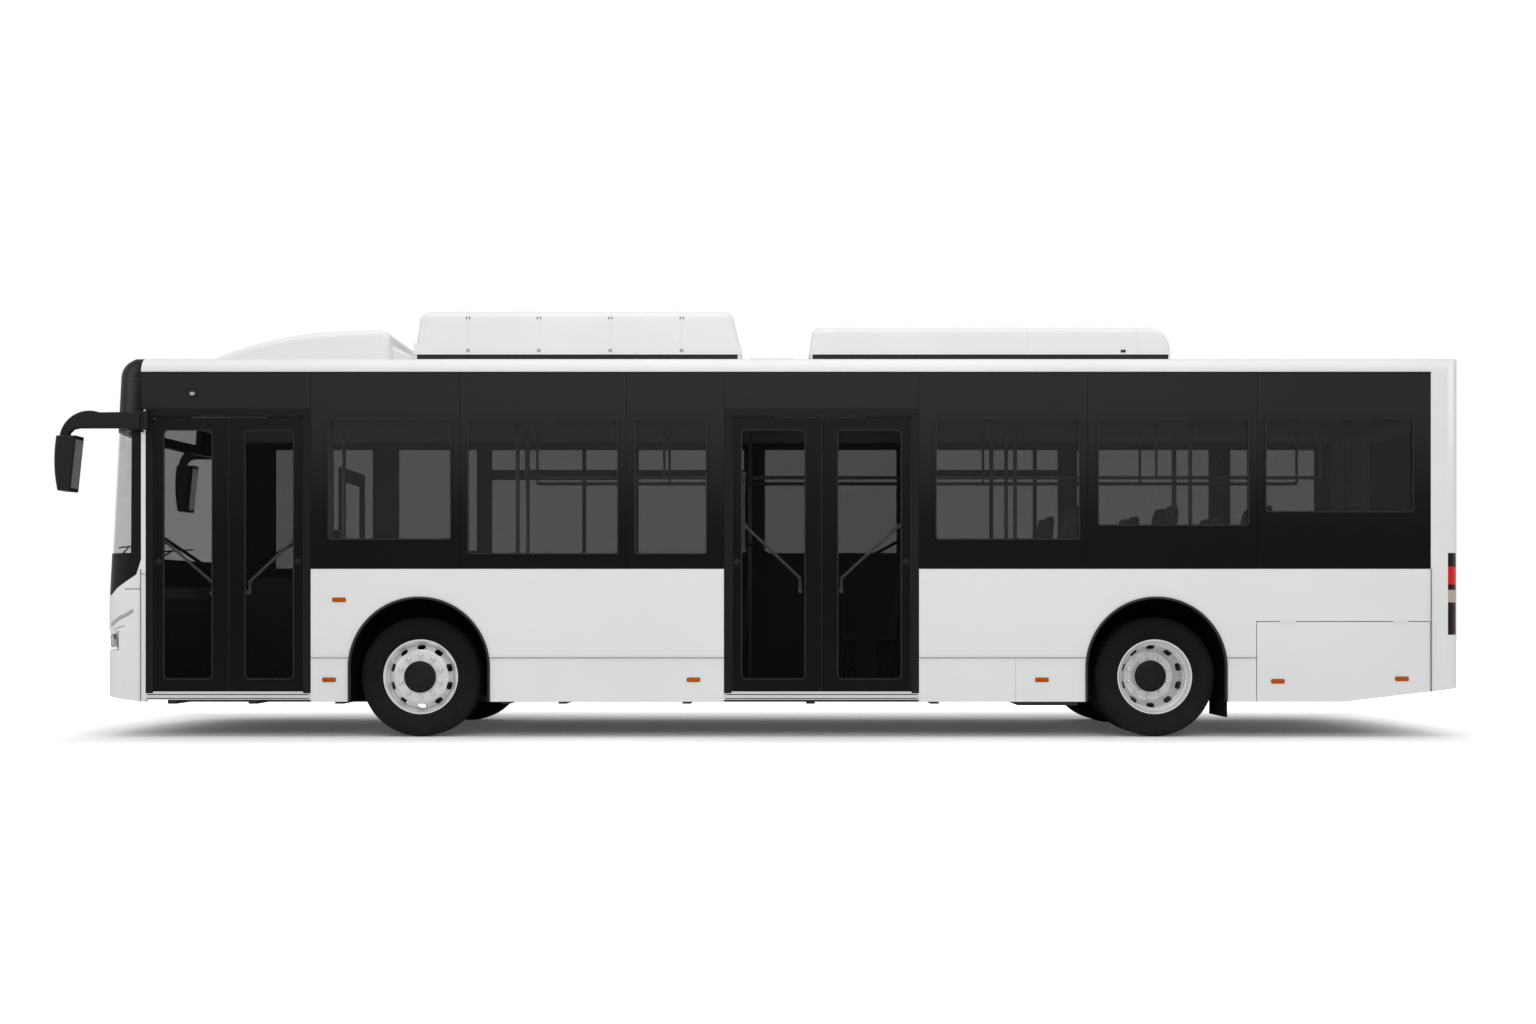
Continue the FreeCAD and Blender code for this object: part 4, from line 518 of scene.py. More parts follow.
def add_block(mesh: Shape, low: Point, high: Point, bevel: float = 0.0) -> None:
    """Adds a block between two corners, with rounded edges.

    Args:
        mesh: the bmesh to add to.
        low: its first corner.
        high: its opposite corner.
        bevel: the radius of its edges.
    """
    centre = [(a + b) / 2 for a, b in zip(low, high)]
    size = [abs(b - a) for a, b in zip(low, high)]
    shape = Matrix.Translation(centre) @ Matrix.Diagonal((*size, 1))
    made = bmesh.ops.create_cube(mesh, size=1.0, matrix=shape)
    if bevel:
        round_edges(mesh, edges_of(made["verts"]), bevel)


def add_plate(mesh: Shape, x: float, z: float, half: Pair, y: Pair, bevel: float = 0.0) -> None:
    """Adds a block centred on an (X, Z) place.

    Args:
        mesh: the bmesh to add to.
        x: its middle along X.
        z: its middle along Z.
        half: half its size along X and along Z.
        y: its two faces along Y.
        bevel: the radius of its edges.
    """
    add_block(mesh, (x - half[0], y[0], z - half[1]), (x + half[0], y[1], z + half[1]), bevel)


def add_rod(mesh: Shape, start: Point, end: Point, radius: float, sides: int = 20,
            end_radius: Optional[float] = None, bevel: float = 0.0) -> None:
    """Adds a round bar or a cone between two points.

    Args:
        mesh: the bmesh to add to.
        start: the first end's centre.
        end: the second end's centre.
        radius: the radius at the start.
        sides: the faces round it.
        end_radius: the radius at the end, if it differs.
        bevel: the radius of its end edges.
    """
    a, b = Vector(start), Vector(end)
    turn = (b - a).to_track_quat("Z", "Y").to_matrix().to_4x4()
    made = bmesh.ops.create_cone(mesh, cap_ends=True, segments=sides, radius1=radius,
                                 radius2=radius if end_radius is None else end_radius, depth=(b - a).length,
                                 matrix=Matrix.Translation((a + b) / 2) @ turn)
    if bevel:
        round_edges(mesh, [edge for edge in edges_of(made["verts"])
                           if any(len(face.verts) == sides for face in edge.link_faces)], bevel)


def stack_rods(mesh: Shape, foot: Point, out: int, parts: Sequence[RoundPart]) -> None:
    """Stacks round or many-sided parts along Y.

    Args:
        mesh: the bmesh to add to.
        foot: the point that they stand on.
        out: the sign of their direction along Y.
        parts: the parts, measured from the foot.
    """
    x, y, z = foot
    for start, end, radius, end_radius, sides, bevel in parts:
        add_rod(mesh, (x, y + out * start, z), (x, y + out * end, z), radius, sides, end_radius, bevel)


def on_circle(centre: Point, radius: float, count: int, first: float = 0.0) -> List[Point]:
    """Points spread evenly round a circle that faces along Y.

    Args:
        centre: the circle's centre.
        radius: its radius.
        count: how many points it has.
        first: the first point's turn, as a share of a step.

    Returns:
        The points.
    """
    turns = [2 * math.pi * (n + first) / count for n in range(count)]
    return [(centre[0] + radius * math.cos(t), centre[1], centre[2] + radius * math.sin(t)) for t in turns]


def spin_profile(mesh: Shape, profile: Sequence[Pair], centre: Point, steps: int,
                 closed: bool = True) -> None:
    """Spins a profile of (radius, distance along Y) round an axle parallel to Y.

    Args:
        mesh: the bmesh to add to.
        profile: the points of the section.
        centre: a point on the axle, from which distances along Y are counted.
        steps: the sections round the axle.
        closed: whether the profile is a closed loop.
    """
    before = set(mesh.verts)
    x, y, z = centre
    verts = [mesh.verts.new((x, y + d, z + r)) for r, d in profile]
    edges = [mesh.edges.new(pair) for pair in zip(verts, verts[1:])]
    if closed:
        edges.append(mesh.edges.new((verts[-1], verts[0])))
    bmesh.ops.spin(mesh, geom=verts + edges, cent=centre, axis=(0, 1, 0), angle=2 * math.pi, steps=steps,
                   use_merge=True)
    bmesh.ops.remove_doubles(mesh, verts=[v for v in mesh.verts if v not in before], dist=SPIN_MERGE)


def thicken(mesh: Shape, faces: Sequence[bmesh.types.BMFace], move: Point) -> None:
    """Makes a closed plate of an open skin by drawing its faces along a direction.

    Args:
        mesh: the bmesh that holds the skin.
        faces: the skin's faces.
        move: how far, and which way, the skin is drawn.
    """
    made = bmesh.ops.extrude_face_region(mesh, geom=list(faces))["geom"]
    verts = [item for item in made if isinstance(item, bmesh.types.BMVert)]
    bmesh.ops.translate(mesh, verts=verts, vec=move)


def add_skin(mesh: Shape, rows: Sequence[Sequence[Point]], move: Point) -> None:
    """Adds a closed plate whose face is a grid of points.

    Args:
        mesh: the bmesh to add to.
        rows: the face's points, row by row, with as many in each row.
        move: from the face to the back.
    """
    grid = [[mesh.verts.new(point) for point in row] for row in rows]
    faces = [mesh.faces.new((a[n], a[n + 1], b[n + 1], b[n])) for a, b in zip(grid, grid[1:])
             for n in range(len(a) - 1)]
    thicken(mesh, faces, move)


def add_band(mesh: Shape, outer: Sequence[Pair], inner: Sequence[Pair], y: Pair) -> None:
    """Adds a flat band between two open lines of (X, Z) points, from one place along Y to another."""
    add_skin(mesh, [[(x, y[0], z) for x, z in line] for line in (outer, inner)], (0, y[1] - y[0], 0))


def rounded_loop(mesh: Shape, x: Pair, z: Pair, y: float, radius: float,
                 steps: int = 6) -> List[bmesh.types.BMEdge]:
    """Adds a closed loop of edges round a rectangle with rounded corners, facing along Y.

    Args:
        mesh: the bmesh to add to.
        x: its first and last X.
        z: its lowest and highest Z.
        y: its place along Y.
        radius: the radius of its corners.
        steps: the edges round each corner.

    Returns:
        The loop's edges.
    """
    verts = []
    for cx, cz, start in ((x[1] - radius, z[1] - radius, 0), (x[0] + radius, z[1] - radius, 90),
                          (x[0] + radius, z[0] + radius, 180), (x[1] - radius, z[0] + radius, 270)):
        for n in range(steps + 1):
            angle = math.radians(start + 90 * n / steps)
            verts.append(mesh.verts.new((cx + radius * math.cos(angle), y, cz + radius * math.sin(angle))))
    return [mesh.edges.new(pair) for pair in zip(verts, verts[1:] + verts[:1])]


def add_frame(mesh: Shape, x: Pair, z: Pair, y: Pair, radius: float, width: float) -> None:
    """Adds a flat frame with rounded corners, as deep as the two places along Y.

    Args:
        mesh: the bmesh to add to.
        x: the outer edge's first and last X.
        z: the outer edge's lowest and highest Z.
        y: the frame's two faces along Y.
        radius: the outer corners' radius.
        width: the frame's width.
    """
    outer = rounded_loop(mesh, x, z, y[0], radius)
    inner = rounded_loop(mesh, (x[0] + width, x[1] - width), (z[0] + width, z[1] - width), y[0],
                         max(radius - width, LEAST_RADIUS))
    thicken(mesh, bmesh.ops.bridge_loops(mesh, edges=outer + inner)["faces"], (0, y[1] - y[0], 0))


# ---------------------------------------------------------------- where things are
def corners(node: str) -> Box:
    """The lowest and highest corners of a CAD node at rest, in metres."""
    low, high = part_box(node)
    return Vector(low), Vector(high)


def middle(node: str) -> Vector:
    """The centre of a CAD node's box."""
    low, high = corners(node)
    return (low + high) / 2


FRONT_AXLE_X = middle("front_tyre_left").x
WALL_Y = abs(corners("lower_wall_left")[0].y)


def station(x: float) -> float:
    """The X of a point that lies x metres behind the front axle."""
    return FRONT_AXLE_X + x


def placed(path: Sequence[Pair]) -> List[Pair]:
    """The (X, Z) points of a path that is given as (station, Z) points."""
    return [(station(x), z) for x, z in path]


@lru_cache(maxsize=None)
def surface_of(node: str) -> BVHTree:
    """A search tree of a CAD node's triangles.

    Args:
        node: the node's name.

    Returns:
        The tree.
    """
    mesh = bmesh.new()
    mesh.from_mesh(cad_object(node).data)
    tree = BVHTree.FromBMesh(mesh)
    mesh.free()
    return tree


def merged_mesh(node: str) -> Shape:
    """A copy of a CAD node's mesh in which each solid's corners are merged.

    Args:
        node: the node's name.

    Returns:
        The copy.
    """
    mesh = bmesh.new()
    mesh.from_mesh(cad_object(node).data)
    bmesh.ops.remove_doubles(mesh, verts=mesh.verts, dist=MERGE)
    return mesh


@lru_cache(maxsize=None)
def solids_of(node: str) -> Sequence[Box]:
    """The boxes of the separate solids in a CAD node.

    Args:
        node: the node's name.

    Returns:
        Each solid's lowest and highest corners.
    """
    mesh = merged_mesh(node)
    left = set(mesh.verts)
    boxes = []
    while left:
        group, front = [], [left.pop()]
        while front:
            vert = front.pop()
            group.append(vert.co.copy())
            for edge in vert.link_edges:
                other = edge.other_vert(vert)
                if other in left:
                    left.remove(other)
                    front.append(other)
        boxes.append(tuple(Vector(end(c[i] for c in group) for i in range(3)) for end in (min, max)))
    mesh.free()
    return sorted(boxes, key=lambda box: (box[0].y > 0, box[0].x, box[0].z))


def side_panes(side: Side) -> List[Box]:
    """The boxes of one side's window panes."""
    return [(low, high) for low, high in solids_of("body_windows")
            if high.y - low.y <= REAR_PANE_WIDTH and (low.y > 0) == (side is Side.DRIVER)]


def side_point(node: str, side: Side, x: float, z: float, lift: float) -> Optional[Point]:
    """A point on a CAD node as it is seen squarely from one side.

    Args:
        node: the node's name.
        side: the side from which it is seen.
        x: the point's X.
        z: the point's Z.
        lift: how far the point stands out of the surface along Y.

    Returns:
        The point, or nothing where the node isn't met.
    """
    place = surface_of(node).ray_cast((x, side.value * FAR_ASIDE, z), (0.0, -side.value, 0.0))[0]
    return (x, place.y + side.value * lift, z) if place else None


def front_x(node: str, y: float, z: float) -> float:
    """The X of a node's outer face at a place seen from the front."""
    place = surface_of(node).ray_cast((FAR_AHEAD, y, z), (1.0, 0.0, 0.0))[0]
    return place.x if place else corners(node)[0].x


def add_ribbon(mesh: Shape, node: str, side: Side, path: Sequence[Pair], width: float,
               lift: float, crown: float = 0.0, samples: int = 16) -> None:
    """Adds a thin raised ribbon that follows a path of (station, Z) points over a CAD node.

    Args:
        mesh: the bmesh to add to.
        node: the node that it lies on.
        side: the side from which the path is drawn.
        path: the corners of its centre line.
        width: its width.
        lift: how far its edges stand out of the surface.
        crown: how much further its middle stands out.
        samples: the steps along each leg of the path.
    """
    rows = []
    for (x0, z0), (x1, z1) in zip(placed(path), placed(path)[1:]):
        length = math.hypot(x1 - x0, z1 - z0)
        across = (-(z1 - z0) / length, (x1 - x0) / length)
        for n in range(samples + 1):
            x, z = x0 + (x1 - x0) * n / samples, z0 + (z1 - z0) * n / samples
            row = [side_point(node, side, x + across[0] * w * width, z + across[1] * w * width,
                              lift + crown * c) for w, c in RIBBON]
            if all(row):
                rows.append(row)
    if len(rows) > 1:
        add_skin(mesh, rows, (0, -side.value * (lift + crown + RIBBON_ROOT), 0))


# ---------------------------------------------------------------- stage
@dataclass
class Studio:
    """The pale floor, the backdrop, the soft lights and the camera.

    Each light is (name, place, aim, size, power), with X counted from the camera's station.
    """

    camera_station: float = 2.904
    camera_y: float = -14.85
    camera_z: float = 0.96
    lens: float = 39.84
    sensor: float = 36.0
    shift: Pair = (-0.0091, 0.0684)
    view_depth: float = 200.0
    world_strength: float = 0.5
    floor_z: float = -0.0015
    floor_half: float = 60.0
    floor_colour: Colour = (0.93, 0.93, 0.93)
    # The camera-only glow on the floor stays low in a box round the bus and rises outside it: a painted
    # shadow, besides the shadow that the lamps cast.
    painted_shadow_half: Pair = (4.9, 1.25)
    painted_shadow_lift: float = 0.055
    open_lift: float = 0.9
    lift_reach: float = 2.2
    lamps: Tuple[Tuple[str, Point, Point, Pair, float], ...] = (
        ("Overhead", (0.0, -2.0, 9.5), (0.0, 0.3, 1.5), (15.0, 6.0), 375.0),
        ("DoorSide", (0.3, -11.0, 6.0), (0.3, 0.0, 1.4), (13.0, 4.0), 352.0),
        ("FrontFill", (-12.0, -3.0, 4.5), (-4.0, 0.0, 1.5), (4.0, 4.0), 130.0),
        ("RearFill", (13.0, -3.0, 5.0), (4.0, 0.0, 1.5), (5.0, 4.0), 135.0))

    def build(self) -> None:
        """Makes the whole stage."""
        self.camera()
        self.world()
        self.floor()
        self.lights()

    def camera(self) -> None:
        """Places the level camera that looks squarely at the door side."""
        data = bpy.data.cameras.new("StudioCamera")
        data.lens = self.lens
        data.sensor_width = self.sensor
        data.shift_x, data.shift_y = self.shift
        data.clip_end = self.view_depth
        eye = new_object("StudioCamera", data)
        eye.location = (station(self.camera_station), self.camera_y, self.camera_z)
        eye.rotation_euler = (math.pi / 2, 0, 0)
        bpy.context.scene.camera = eye
        bpy.context.scene.view_settings.view_transform = "Standard"

    def world(self) -> None:
        """Makes a pale world that shows as white behind the bus and lights it evenly."""
        world = bpy.data.worlds.new("StudioWorld")
        bpy.context.scene.world = world
        world.use_nodes = True
        tree = world.node_tree
        shown = add_node(tree, "LightPath").outputs
        seen = math_node(tree, "MAXIMUM", shown["Is Camera Ray"], shown["Is Transmission Ray"])
        white = add_node(tree, "MapRange", {"Value": seen, "To Min": self.world_strength, "To Max": 1.0})
        set_inputs(tree, tree.nodes["Background"], {"Color": (1, 1, 1, 1),
                                                    "Strength": white.outputs["Result"]})

    def floor(self) -> None:
        """Makes a wide floor that keeps the bus's shadow, has a painted shadow in a box round the bus, and
        shows as white elsewhere.
        """
        mesh = bmesh.new()
        bmesh.ops.create_grid(mesh, x_segments=1, y_segments=1, size=self.floor_half)
        floor = new_object("StudioFloor", mesh_data("StudioFloor", mesh))
        floor.location.z = self.floor_z
        floor.data.materials.append(self.floor_material())

    def floor_material(self) -> bpy.types.Material:
        """Makes the floor's material, which the camera sees brighter away from the bus and darker near it, as
        a painted shadow.

        Returns:
            The node material.
        """
        material = bpy.data.materials.new("StudioFloor")
        material.use_nodes = True
        tree = material.node_tree
        shader = tree.nodes["Principled BSDF"]
        set_inputs(tree, shader, {"Base Color": (*self.floor_colour, 1), "Roughness": 0.9,
                                  "Specular IOR Level": 0.1})
        split = add_node(tree, "SeparateXYZ", {0: add_node(tree, "TexCoord").outputs["Object"]})
        # Distance out of the box round the bus; the glow grows with it, so the box is painted shadow.
        away = [math_node(tree, "SUBTRACT", math_node(tree, "ABSOLUTE", split.outputs[axis]), half)
                for axis, half in zip("XY", self.painted_shadow_half)]
        rise = add_node(tree, "MapRange", {
            "Value": math_node(tree, "MAXIMUM", *away), "From Max": self.lift_reach,
            "To Min": self.painted_shadow_lift, "To Max": self.open_lift}, interpolation_type="SMOOTHSTEP")
        shown = add_node(tree, "LightPath").outputs["Is Camera Ray"]
        lift = math_node(tree, "MULTIPLY", shown, rise.outputs["Result"])
        glow = add_node(tree, "Emission", {"Strength": lift})
        both = add_node(tree, "AddShader", {0: shader.outputs[0], 1: glow.outputs[0]})
        set_inputs(tree, tree.nodes["Material Output"], {"Surface": both.outputs[0]})
        return material

    def lights(self) -> None:
        """Places the soft lights."""
        centre = Vector((station(self.camera_station), 0.0, 0.0))
        for name, place, aim, size, power in self.lamps:
            lamp = bpy.data.lights.new(name, "AREA")
            lamp.shape = "RECTANGLE"
            lamp.size, lamp.size_y = size
            lamp.energy = power
            holder = new_object(name, lamp)
            holder.location = centre + Vector(place)
            holder.rotation_euler = (Vector(aim) - Vector(place)).to_track_quat("-Z", "Y").to_euler()


# ---------------------------------------------------------------- CAD nodes and their finishes
@dataclass
class Shell:
    """The finishes of the CAD nodes that stay as they are."""

    finishes: Dict[Paint, Tuple[str, ...]] = field(default_factory=lambda: {
        Paint.WHITE: ("front_mask", "rear_cap", "lower_wall_left", "lower_wall_right", "service_flap",
                      "engine_hatch"),
        Paint.ROOF_WHITE: ("roof_skin", "roof_fairing", "roof_pack_cover", "roof_air_conditioner",
                           "roof_hatch"),
        Paint.BAND: ("upper_wall_left", "upper_wall_right"),
        Paint.FRONT_BLACK: ("front_surround",),
        Paint.PORTAL: ("door_portals",),
        Paint.GLASS: ("body_windows",),
        Paint.SCREEN_GLASS: ("windscreen",),
        Paint.CLEAR_LENS: ("headlamps",),
        Paint.LAMP_BASE: ("tail_lamps",),
        Paint.AMBER_LENS: ("side_marker_lamps", "flap_marker_lamps"),
        Paint.PLASTIC: ("mirrors", "steering_wheel"),
        Paint.LINER: ("wheelhouses",),
        Paint.CHASSIS: ("underframe",),
        Paint.IRON: ("front_axle", "rear_axle", "drive_unit", "knuckle_left", "knuckle_right"),
        Paint.SILL: ("door_sills",),
        Paint.FLOOR: ("low_floor", "raised_floor"),
        Paint.LINING: ("ceiling",),
        Paint.PANEL: ("dashboard", "driver_cab", "driver_seat"),
        Paint.SEAT: ("passenger_seats",),
        Paint.POLE: ("grab_poles",),
        Paint.RIM: ("front_wheel_left", "front_wheel_right", "rear_wheels_left", "rear_wheels_right"),
    })

    def build(self) -> None:
        """Gives each node its finish."""
        for paint, nodes in self.finishes.items():
            dress(nodes, paint)
            LOG.info("finish %s on %s", paint.value.name, ", ".join(nodes))


# ---------------------------------------------------------------- wheels
@dataclass
class Tyre:
    """One tyre, with ribs and cut blocks on its tread and rings on its sidewalls."""

    name: str
    node: str
    body: str
    centre: Vector
    steps: int = 120
    half_section: Tuple[Pair, ...] = (
        (0.2865, 0.095), (0.300, 0.1025), (0.306, 0.108), (0.316, 0.120), (0.330, 0.128), (0.3345, 0.1265),
        (0.339, 0.1305), (0.360, 0.1365), (0.392, 0.138), (0.418, 0.1372), (0.4205, 0.1352),
        (0.4235, 0.1366), (0.440, 0.1335), (0.4505, 0.1275), (0.4535, 0.1235), (0.4665, 0.1165),
        (0.4735, 0.110), (0.4785, 0.096), (0.4798, 0.0745), (0.4680, 0.0715), (0.4680, 0.0640),
        (0.4800, 0.0610), (0.4800, 0.0305), (0.4680, 0.0275), (0.4680, 0.0205), (0.4800, 0.0175))
    bore: Tuple[Pair, Pair] = ((0.2865, -0.060), (0.2865, 0.060))
    tread_radius: float = 0.4735
    grooves: Pair = (0.067, 0.024)
    groove_half: float = 0.005
    slot_every: int = 3
    slot_inset: float = 0.0035
    slot_depth: float = 0.0055
    smooth_angle: float = 32.0

    def build(self) -> None:
        """Makes the tyre in place of its CAD node."""
        mesh = bmesh.new()
        mirrored = tuple((r, -d) for r, d in reversed(self.half_section))
        spin_profile(mesh, self.half_section + mirrored + self.bore, tuple(self.centre), self.steps)
        self.cut_blocks(mesh)
        tyre = add_piece(self.name, mesh, Paint.TYRE, self.body, self.smooth_angle)
        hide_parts(self.node)

    def cut_blocks(self, mesh: Shape) -> None:
        """Presses narrow slots into every third column of the tread's ribs and shoulders.

        Args:
            mesh: the spun tyre.
        """
        columns: List[bmesh.types.BMFace] = []
        for face in mesh.faces:
            offset = face.calc_center_median() - self.centre
            in_groove = any(abs(abs(offset.y) - groove) < self.groove_half for groove in self.grooves)
            turn = (math.atan2(offset.z, offset.x) / (2 * math.pi) + 1) * self.steps
            on_tread = math.hypot(offset.x, offset.z) >= self.tread_radius
            if on_tread and not in_groove and int(turn) % self.slot_every == 0:
                columns.append(face)
        bmesh.ops.inset_individual(mesh, faces=columns, thickness=self.slot_inset, depth=0.0,
                                   use_even_offset=True)
        for vert in {vert for face in columns for vert in face.verts}:
            offset = vert.co - self.centre
            radius = math.hypot(offset.x, offset.z)
            shrink = (radius - self.slot_depth) / radius
            vert.co.x = self.centre.x + offset.x * shrink
            vert.co.z = self.centre.z + offset.z * shrink


@dataclass
class WheelFittings:
    """The nuts, the hub cap and the valve on one wheel's outer face."""

    side: Side
    axle: str
    centre: Vector              # in the outer tyre's centre plane, from which the two faces are measured
    disc_face: float
    cap_face: float
    nut_circle: float = 0.1675
    nut_count: int = 10
    nut_parts: Tuple[RoundPart, ...] = (
        (0.0, 0.005, 0.0215, 0.019, 20, 0.0), (0.004, 0.026, 0.0172, 0.0172, 6, 0.0015),
        (0.024, 0.034, 0.0098, 0.0085, 12, 0.0))
    bolt_circle: float = 0.104
    bolt_count: int = 8
    bolt_parts: Tuple[RoundPart, ...] = ((0.0, 0.0125, 0.0085, 0.0085, 6, 0.001),)
    hub_section: Tuple[Pair, ...] = (
        (0.000, 0.0), (0.0, 0.0105), (0.052, 0.0105), (0.056, 0.0135), (0.062, 0.0135), (0.066, 0.0095),
        (0.100, 0.0065), (0.118, 0.0025), (0.127, -0.004), (0.1275, -0.014))
    hub_steps: int = 64
    valve_root: Pair = (0.232, 0.020)
    valve_tip: Pair = (0.222, 0.082)
    valve_parts: Tuple[RoundPart, ...] = ((-0.022, 0.0, 0.006, 0.005, 12, 0.0),)
    stem_radius: float = 0.0045
    stem_sides: int = 12

    def build(self) -> None:
        """Makes the bright nuts, the dark hub cap and the valve."""
        out, name = self.side.value, self.axle + "_" + self.side.word
        body = ("front_wheel_" if self.axle == "front" else "rear_wheels_") + self.side.word
        x, y, z = self.centre
        nuts, hub, valve = (bmesh.new() for _ in range(3))
        for place in on_circle((x, y + out * self.disc_face, z), self.nut_circle, self.nut_count, 0.5):
            stack_rods(nuts, place, out, self.nut_parts)
        add_piece("nuts_" + name, nuts, Paint.CHROME, body)
        cap = (x, y + out * self.cap_face, z)
        spin_profile(hub, [(r, out * d) for r, d in self.hub_section], cap, self.hub_steps, False)
        for place in on_circle(cap, self.bolt_circle, self.bolt_count):
            stack_rods(hub, place, out, self.bolt_parts)
        add_piece("hub_" + name, hub, Paint.HUB, body)
        root = (x + self.valve_root[0], y + out * min(self.disc_face, self.valve_root[1]), z)
        tip = (x + self.valve_tip[0], y + out * self.valve_tip[1], z)
        add_rod(valve, root, tip, self.stem_radius, self.stem_sides)
        stack_rods(valve, tip, out, self.valve_parts)
        add_piece("valve_" + name, valve, Paint.CHROME, body)


@dataclass
class RunningGear:
    """All the tyres, nuts, hubs and valves."""

    twin_pitch: float = 0.312
    tyre_half: float = 0.138
    front_faces: Pair = (0.112, 0.142)
    rear_faces: Pair = (-0.142, -0.046)

    def build(self) -> None:
        """Makes both axles' pieces."""
        for side in Side:
            word, out = side.word, side.value
            front = middle("front_tyre_" + word)
            Tyre("tyre_front_" + word, "front_tyre_" + word, "front_wheel_" + word, front).build()
            WheelFittings(side, "front", front, *self.front_faces).build()
            low, high = corners("rear_tyres_" + word)
            outer_y = (low.y if out < 0 else high.y) - out * self.tyre_half
            outer = Vector(((low.x + high.x) / 2, outer_y, (low.z + high.z) / 2))
            inner = outer - Vector((0, out * self.twin_pitch, 0))
            for place, centre in (("outer_", outer), ("inner_", inner)):
                Tyre("tyre_rear_" + place + word, "rear_tyres_" + word, "rear_wheels_" + word, centre).build()
            WheelFittings(side, "rear", outer, *self.rear_faces).build()


# ---------------------------------------------------------------- doors and windows
@dataclass
class DoorLeaf:
    """The seals, lock knob and finishes of one door leaf."""

    door: str
    place: str
    pane_fit: float = 0.0003
    pane_radius: float = 0.040
    pane_seal: float = 0.009
    pane_seal_back: float = 0.0012
    margin: float = 0.088               # from the pane up or down to the end of the leaf's seals
    nose: float = 0.0046
    nose_y: Pair = (0.003, 0.033)
    nose_bevel: float = 0.0018
    edge_seal: float = 0.0085
    edge_seal_y: Pair = (0.004, 0.012)
    edge_seal_bevel: float = 0.001
    top_seal: float = 0.0075
    bottom_seal: float = 0.0055
    closing_gap: float = 0.0004
    knob_z: float = 1.402
    knob_inset: float = 0.033
    knob_parts: Tuple[RoundPart, ...] = ((0.0, 0.005, 0.027, 0.027, 32, 0.0015),
                                         (0.004, 0.009, 0.013, 0.012, 24, 0.0))
    grip_half: Pair = (0.0045, 0.019)
    grip_y: Pair = (0.0108, 0.005)
    grip_bevel: float = 0.002

    def build(self) -> None:
        """Makes the leaf's pieces."""
        name = self.door + "_" + self.place
        leaf, pane = name + "_leaf", name + "_glass"
        dress((leaf, name + "_post"), Paint.DOOR)
        dress((pane,), Paint.DOOR_GLASS)
        low, high = corners(pane)
        leaf_low, leaf_high = corners(leaf)
        face, fit = leaf_low.y, self.pane_fit / 2
        mesh = bmesh.new()
        add_frame(mesh, (low.x - fit, high.x + fit), (low.z - fit, high.z + fit),
                  (face + self.pane_seal_back, low.y), self.pane_radius, self.pane_seal)
        inward = 1 if self.place == "fore" else -1
        hinged, closing = (leaf_low.x, leaf_high.x)[::inward]
        bottom, top = low.z - self.margin, high.z + self.margin
        across = sorted((hinged, closing - inward * self.closing_gap))
        stile = sorted((hinged, hinged - inward * self.edge_seal))
        nose = sorted((closing, closing + inward * self.nose))
        for x, z, y, bevel in (
                (nose, (bottom, top), self.nose_y, self.nose_bevel),
                (stile, (bottom, top), self.edge_seal_y, self.edge_seal_bevel),
                (across, (top, top + self.top_seal), self.edge_seal_y, self.edge_seal_bevel),
                (across, (bottom - self.bottom_seal, bottom), self.edge_seal_y, self.edge_seal_bevel)):
            add_block(mesh, (x[0], face + y[0], z[0]), (x[1], face + y[1], z[1]), bevel)
        add_piece(name + "_seals", mesh, Paint.RUBBER_AND_GAP_SHADE, leaf)
        self.knob(name, leaf, hinged + inward * self.knob_inset, face)

    def knob(self, name: str, body: str, x: float, face: float) -> None:
        """Adds the round lock with its short grip on the outer stile.

        Args:
            name: the leaf's name.
            body: the leaf's body.
            x: the knob's X.
            face: the Y of the leaf's outer face.
        """
        mesh = bmesh.new()
        stack_rods(mesh, (x, face, self.knob_z), Side.DOORS.value, self.knob_parts)
        add_plate(mesh, x, self.knob_z, self.grip_half, (face - self.grip_y[0], face - self.grip_y[1]),
                  self.grip_bevel)
        add_piece(name + "_lock", mesh, Paint.PLASTIC, body)


@dataclass
class Doors:
    """Both doorways' leaves."""

    doors: Tuple[str, ...] = ("front_door", "middle_door")

    def build(self) -> None:
        """Makes every leaf's pieces."""
        for door in self.doors:
            for place in ("fore", "aft"):
                DoorLeaf(door, place).build()


@dataclass
class Glazing:
    """The rubber seals round the side windows."""

    pane_radius: float = 0.022
    seal: float = 0.010
    sunk: float = 0.0008

    def build(self) -> None:
        """Makes one piece of seals for each side."""
        for side in Side:
            mesh = bmesh.new()
            wall = side.value * (WALL_Y - self.sunk)
            for low, high in side_panes(side):
                pane_face = low.y if side is Side.DOORS else high.y
                add_frame(mesh, (low.x, high.x), (low.z, high.z), (wall, pane_face), self.pane_radius,
                          self.seal)
            add_piece("window_seals_" + side.word, mesh, Paint.RUBBER_AND_GAP_SHADE, "body")


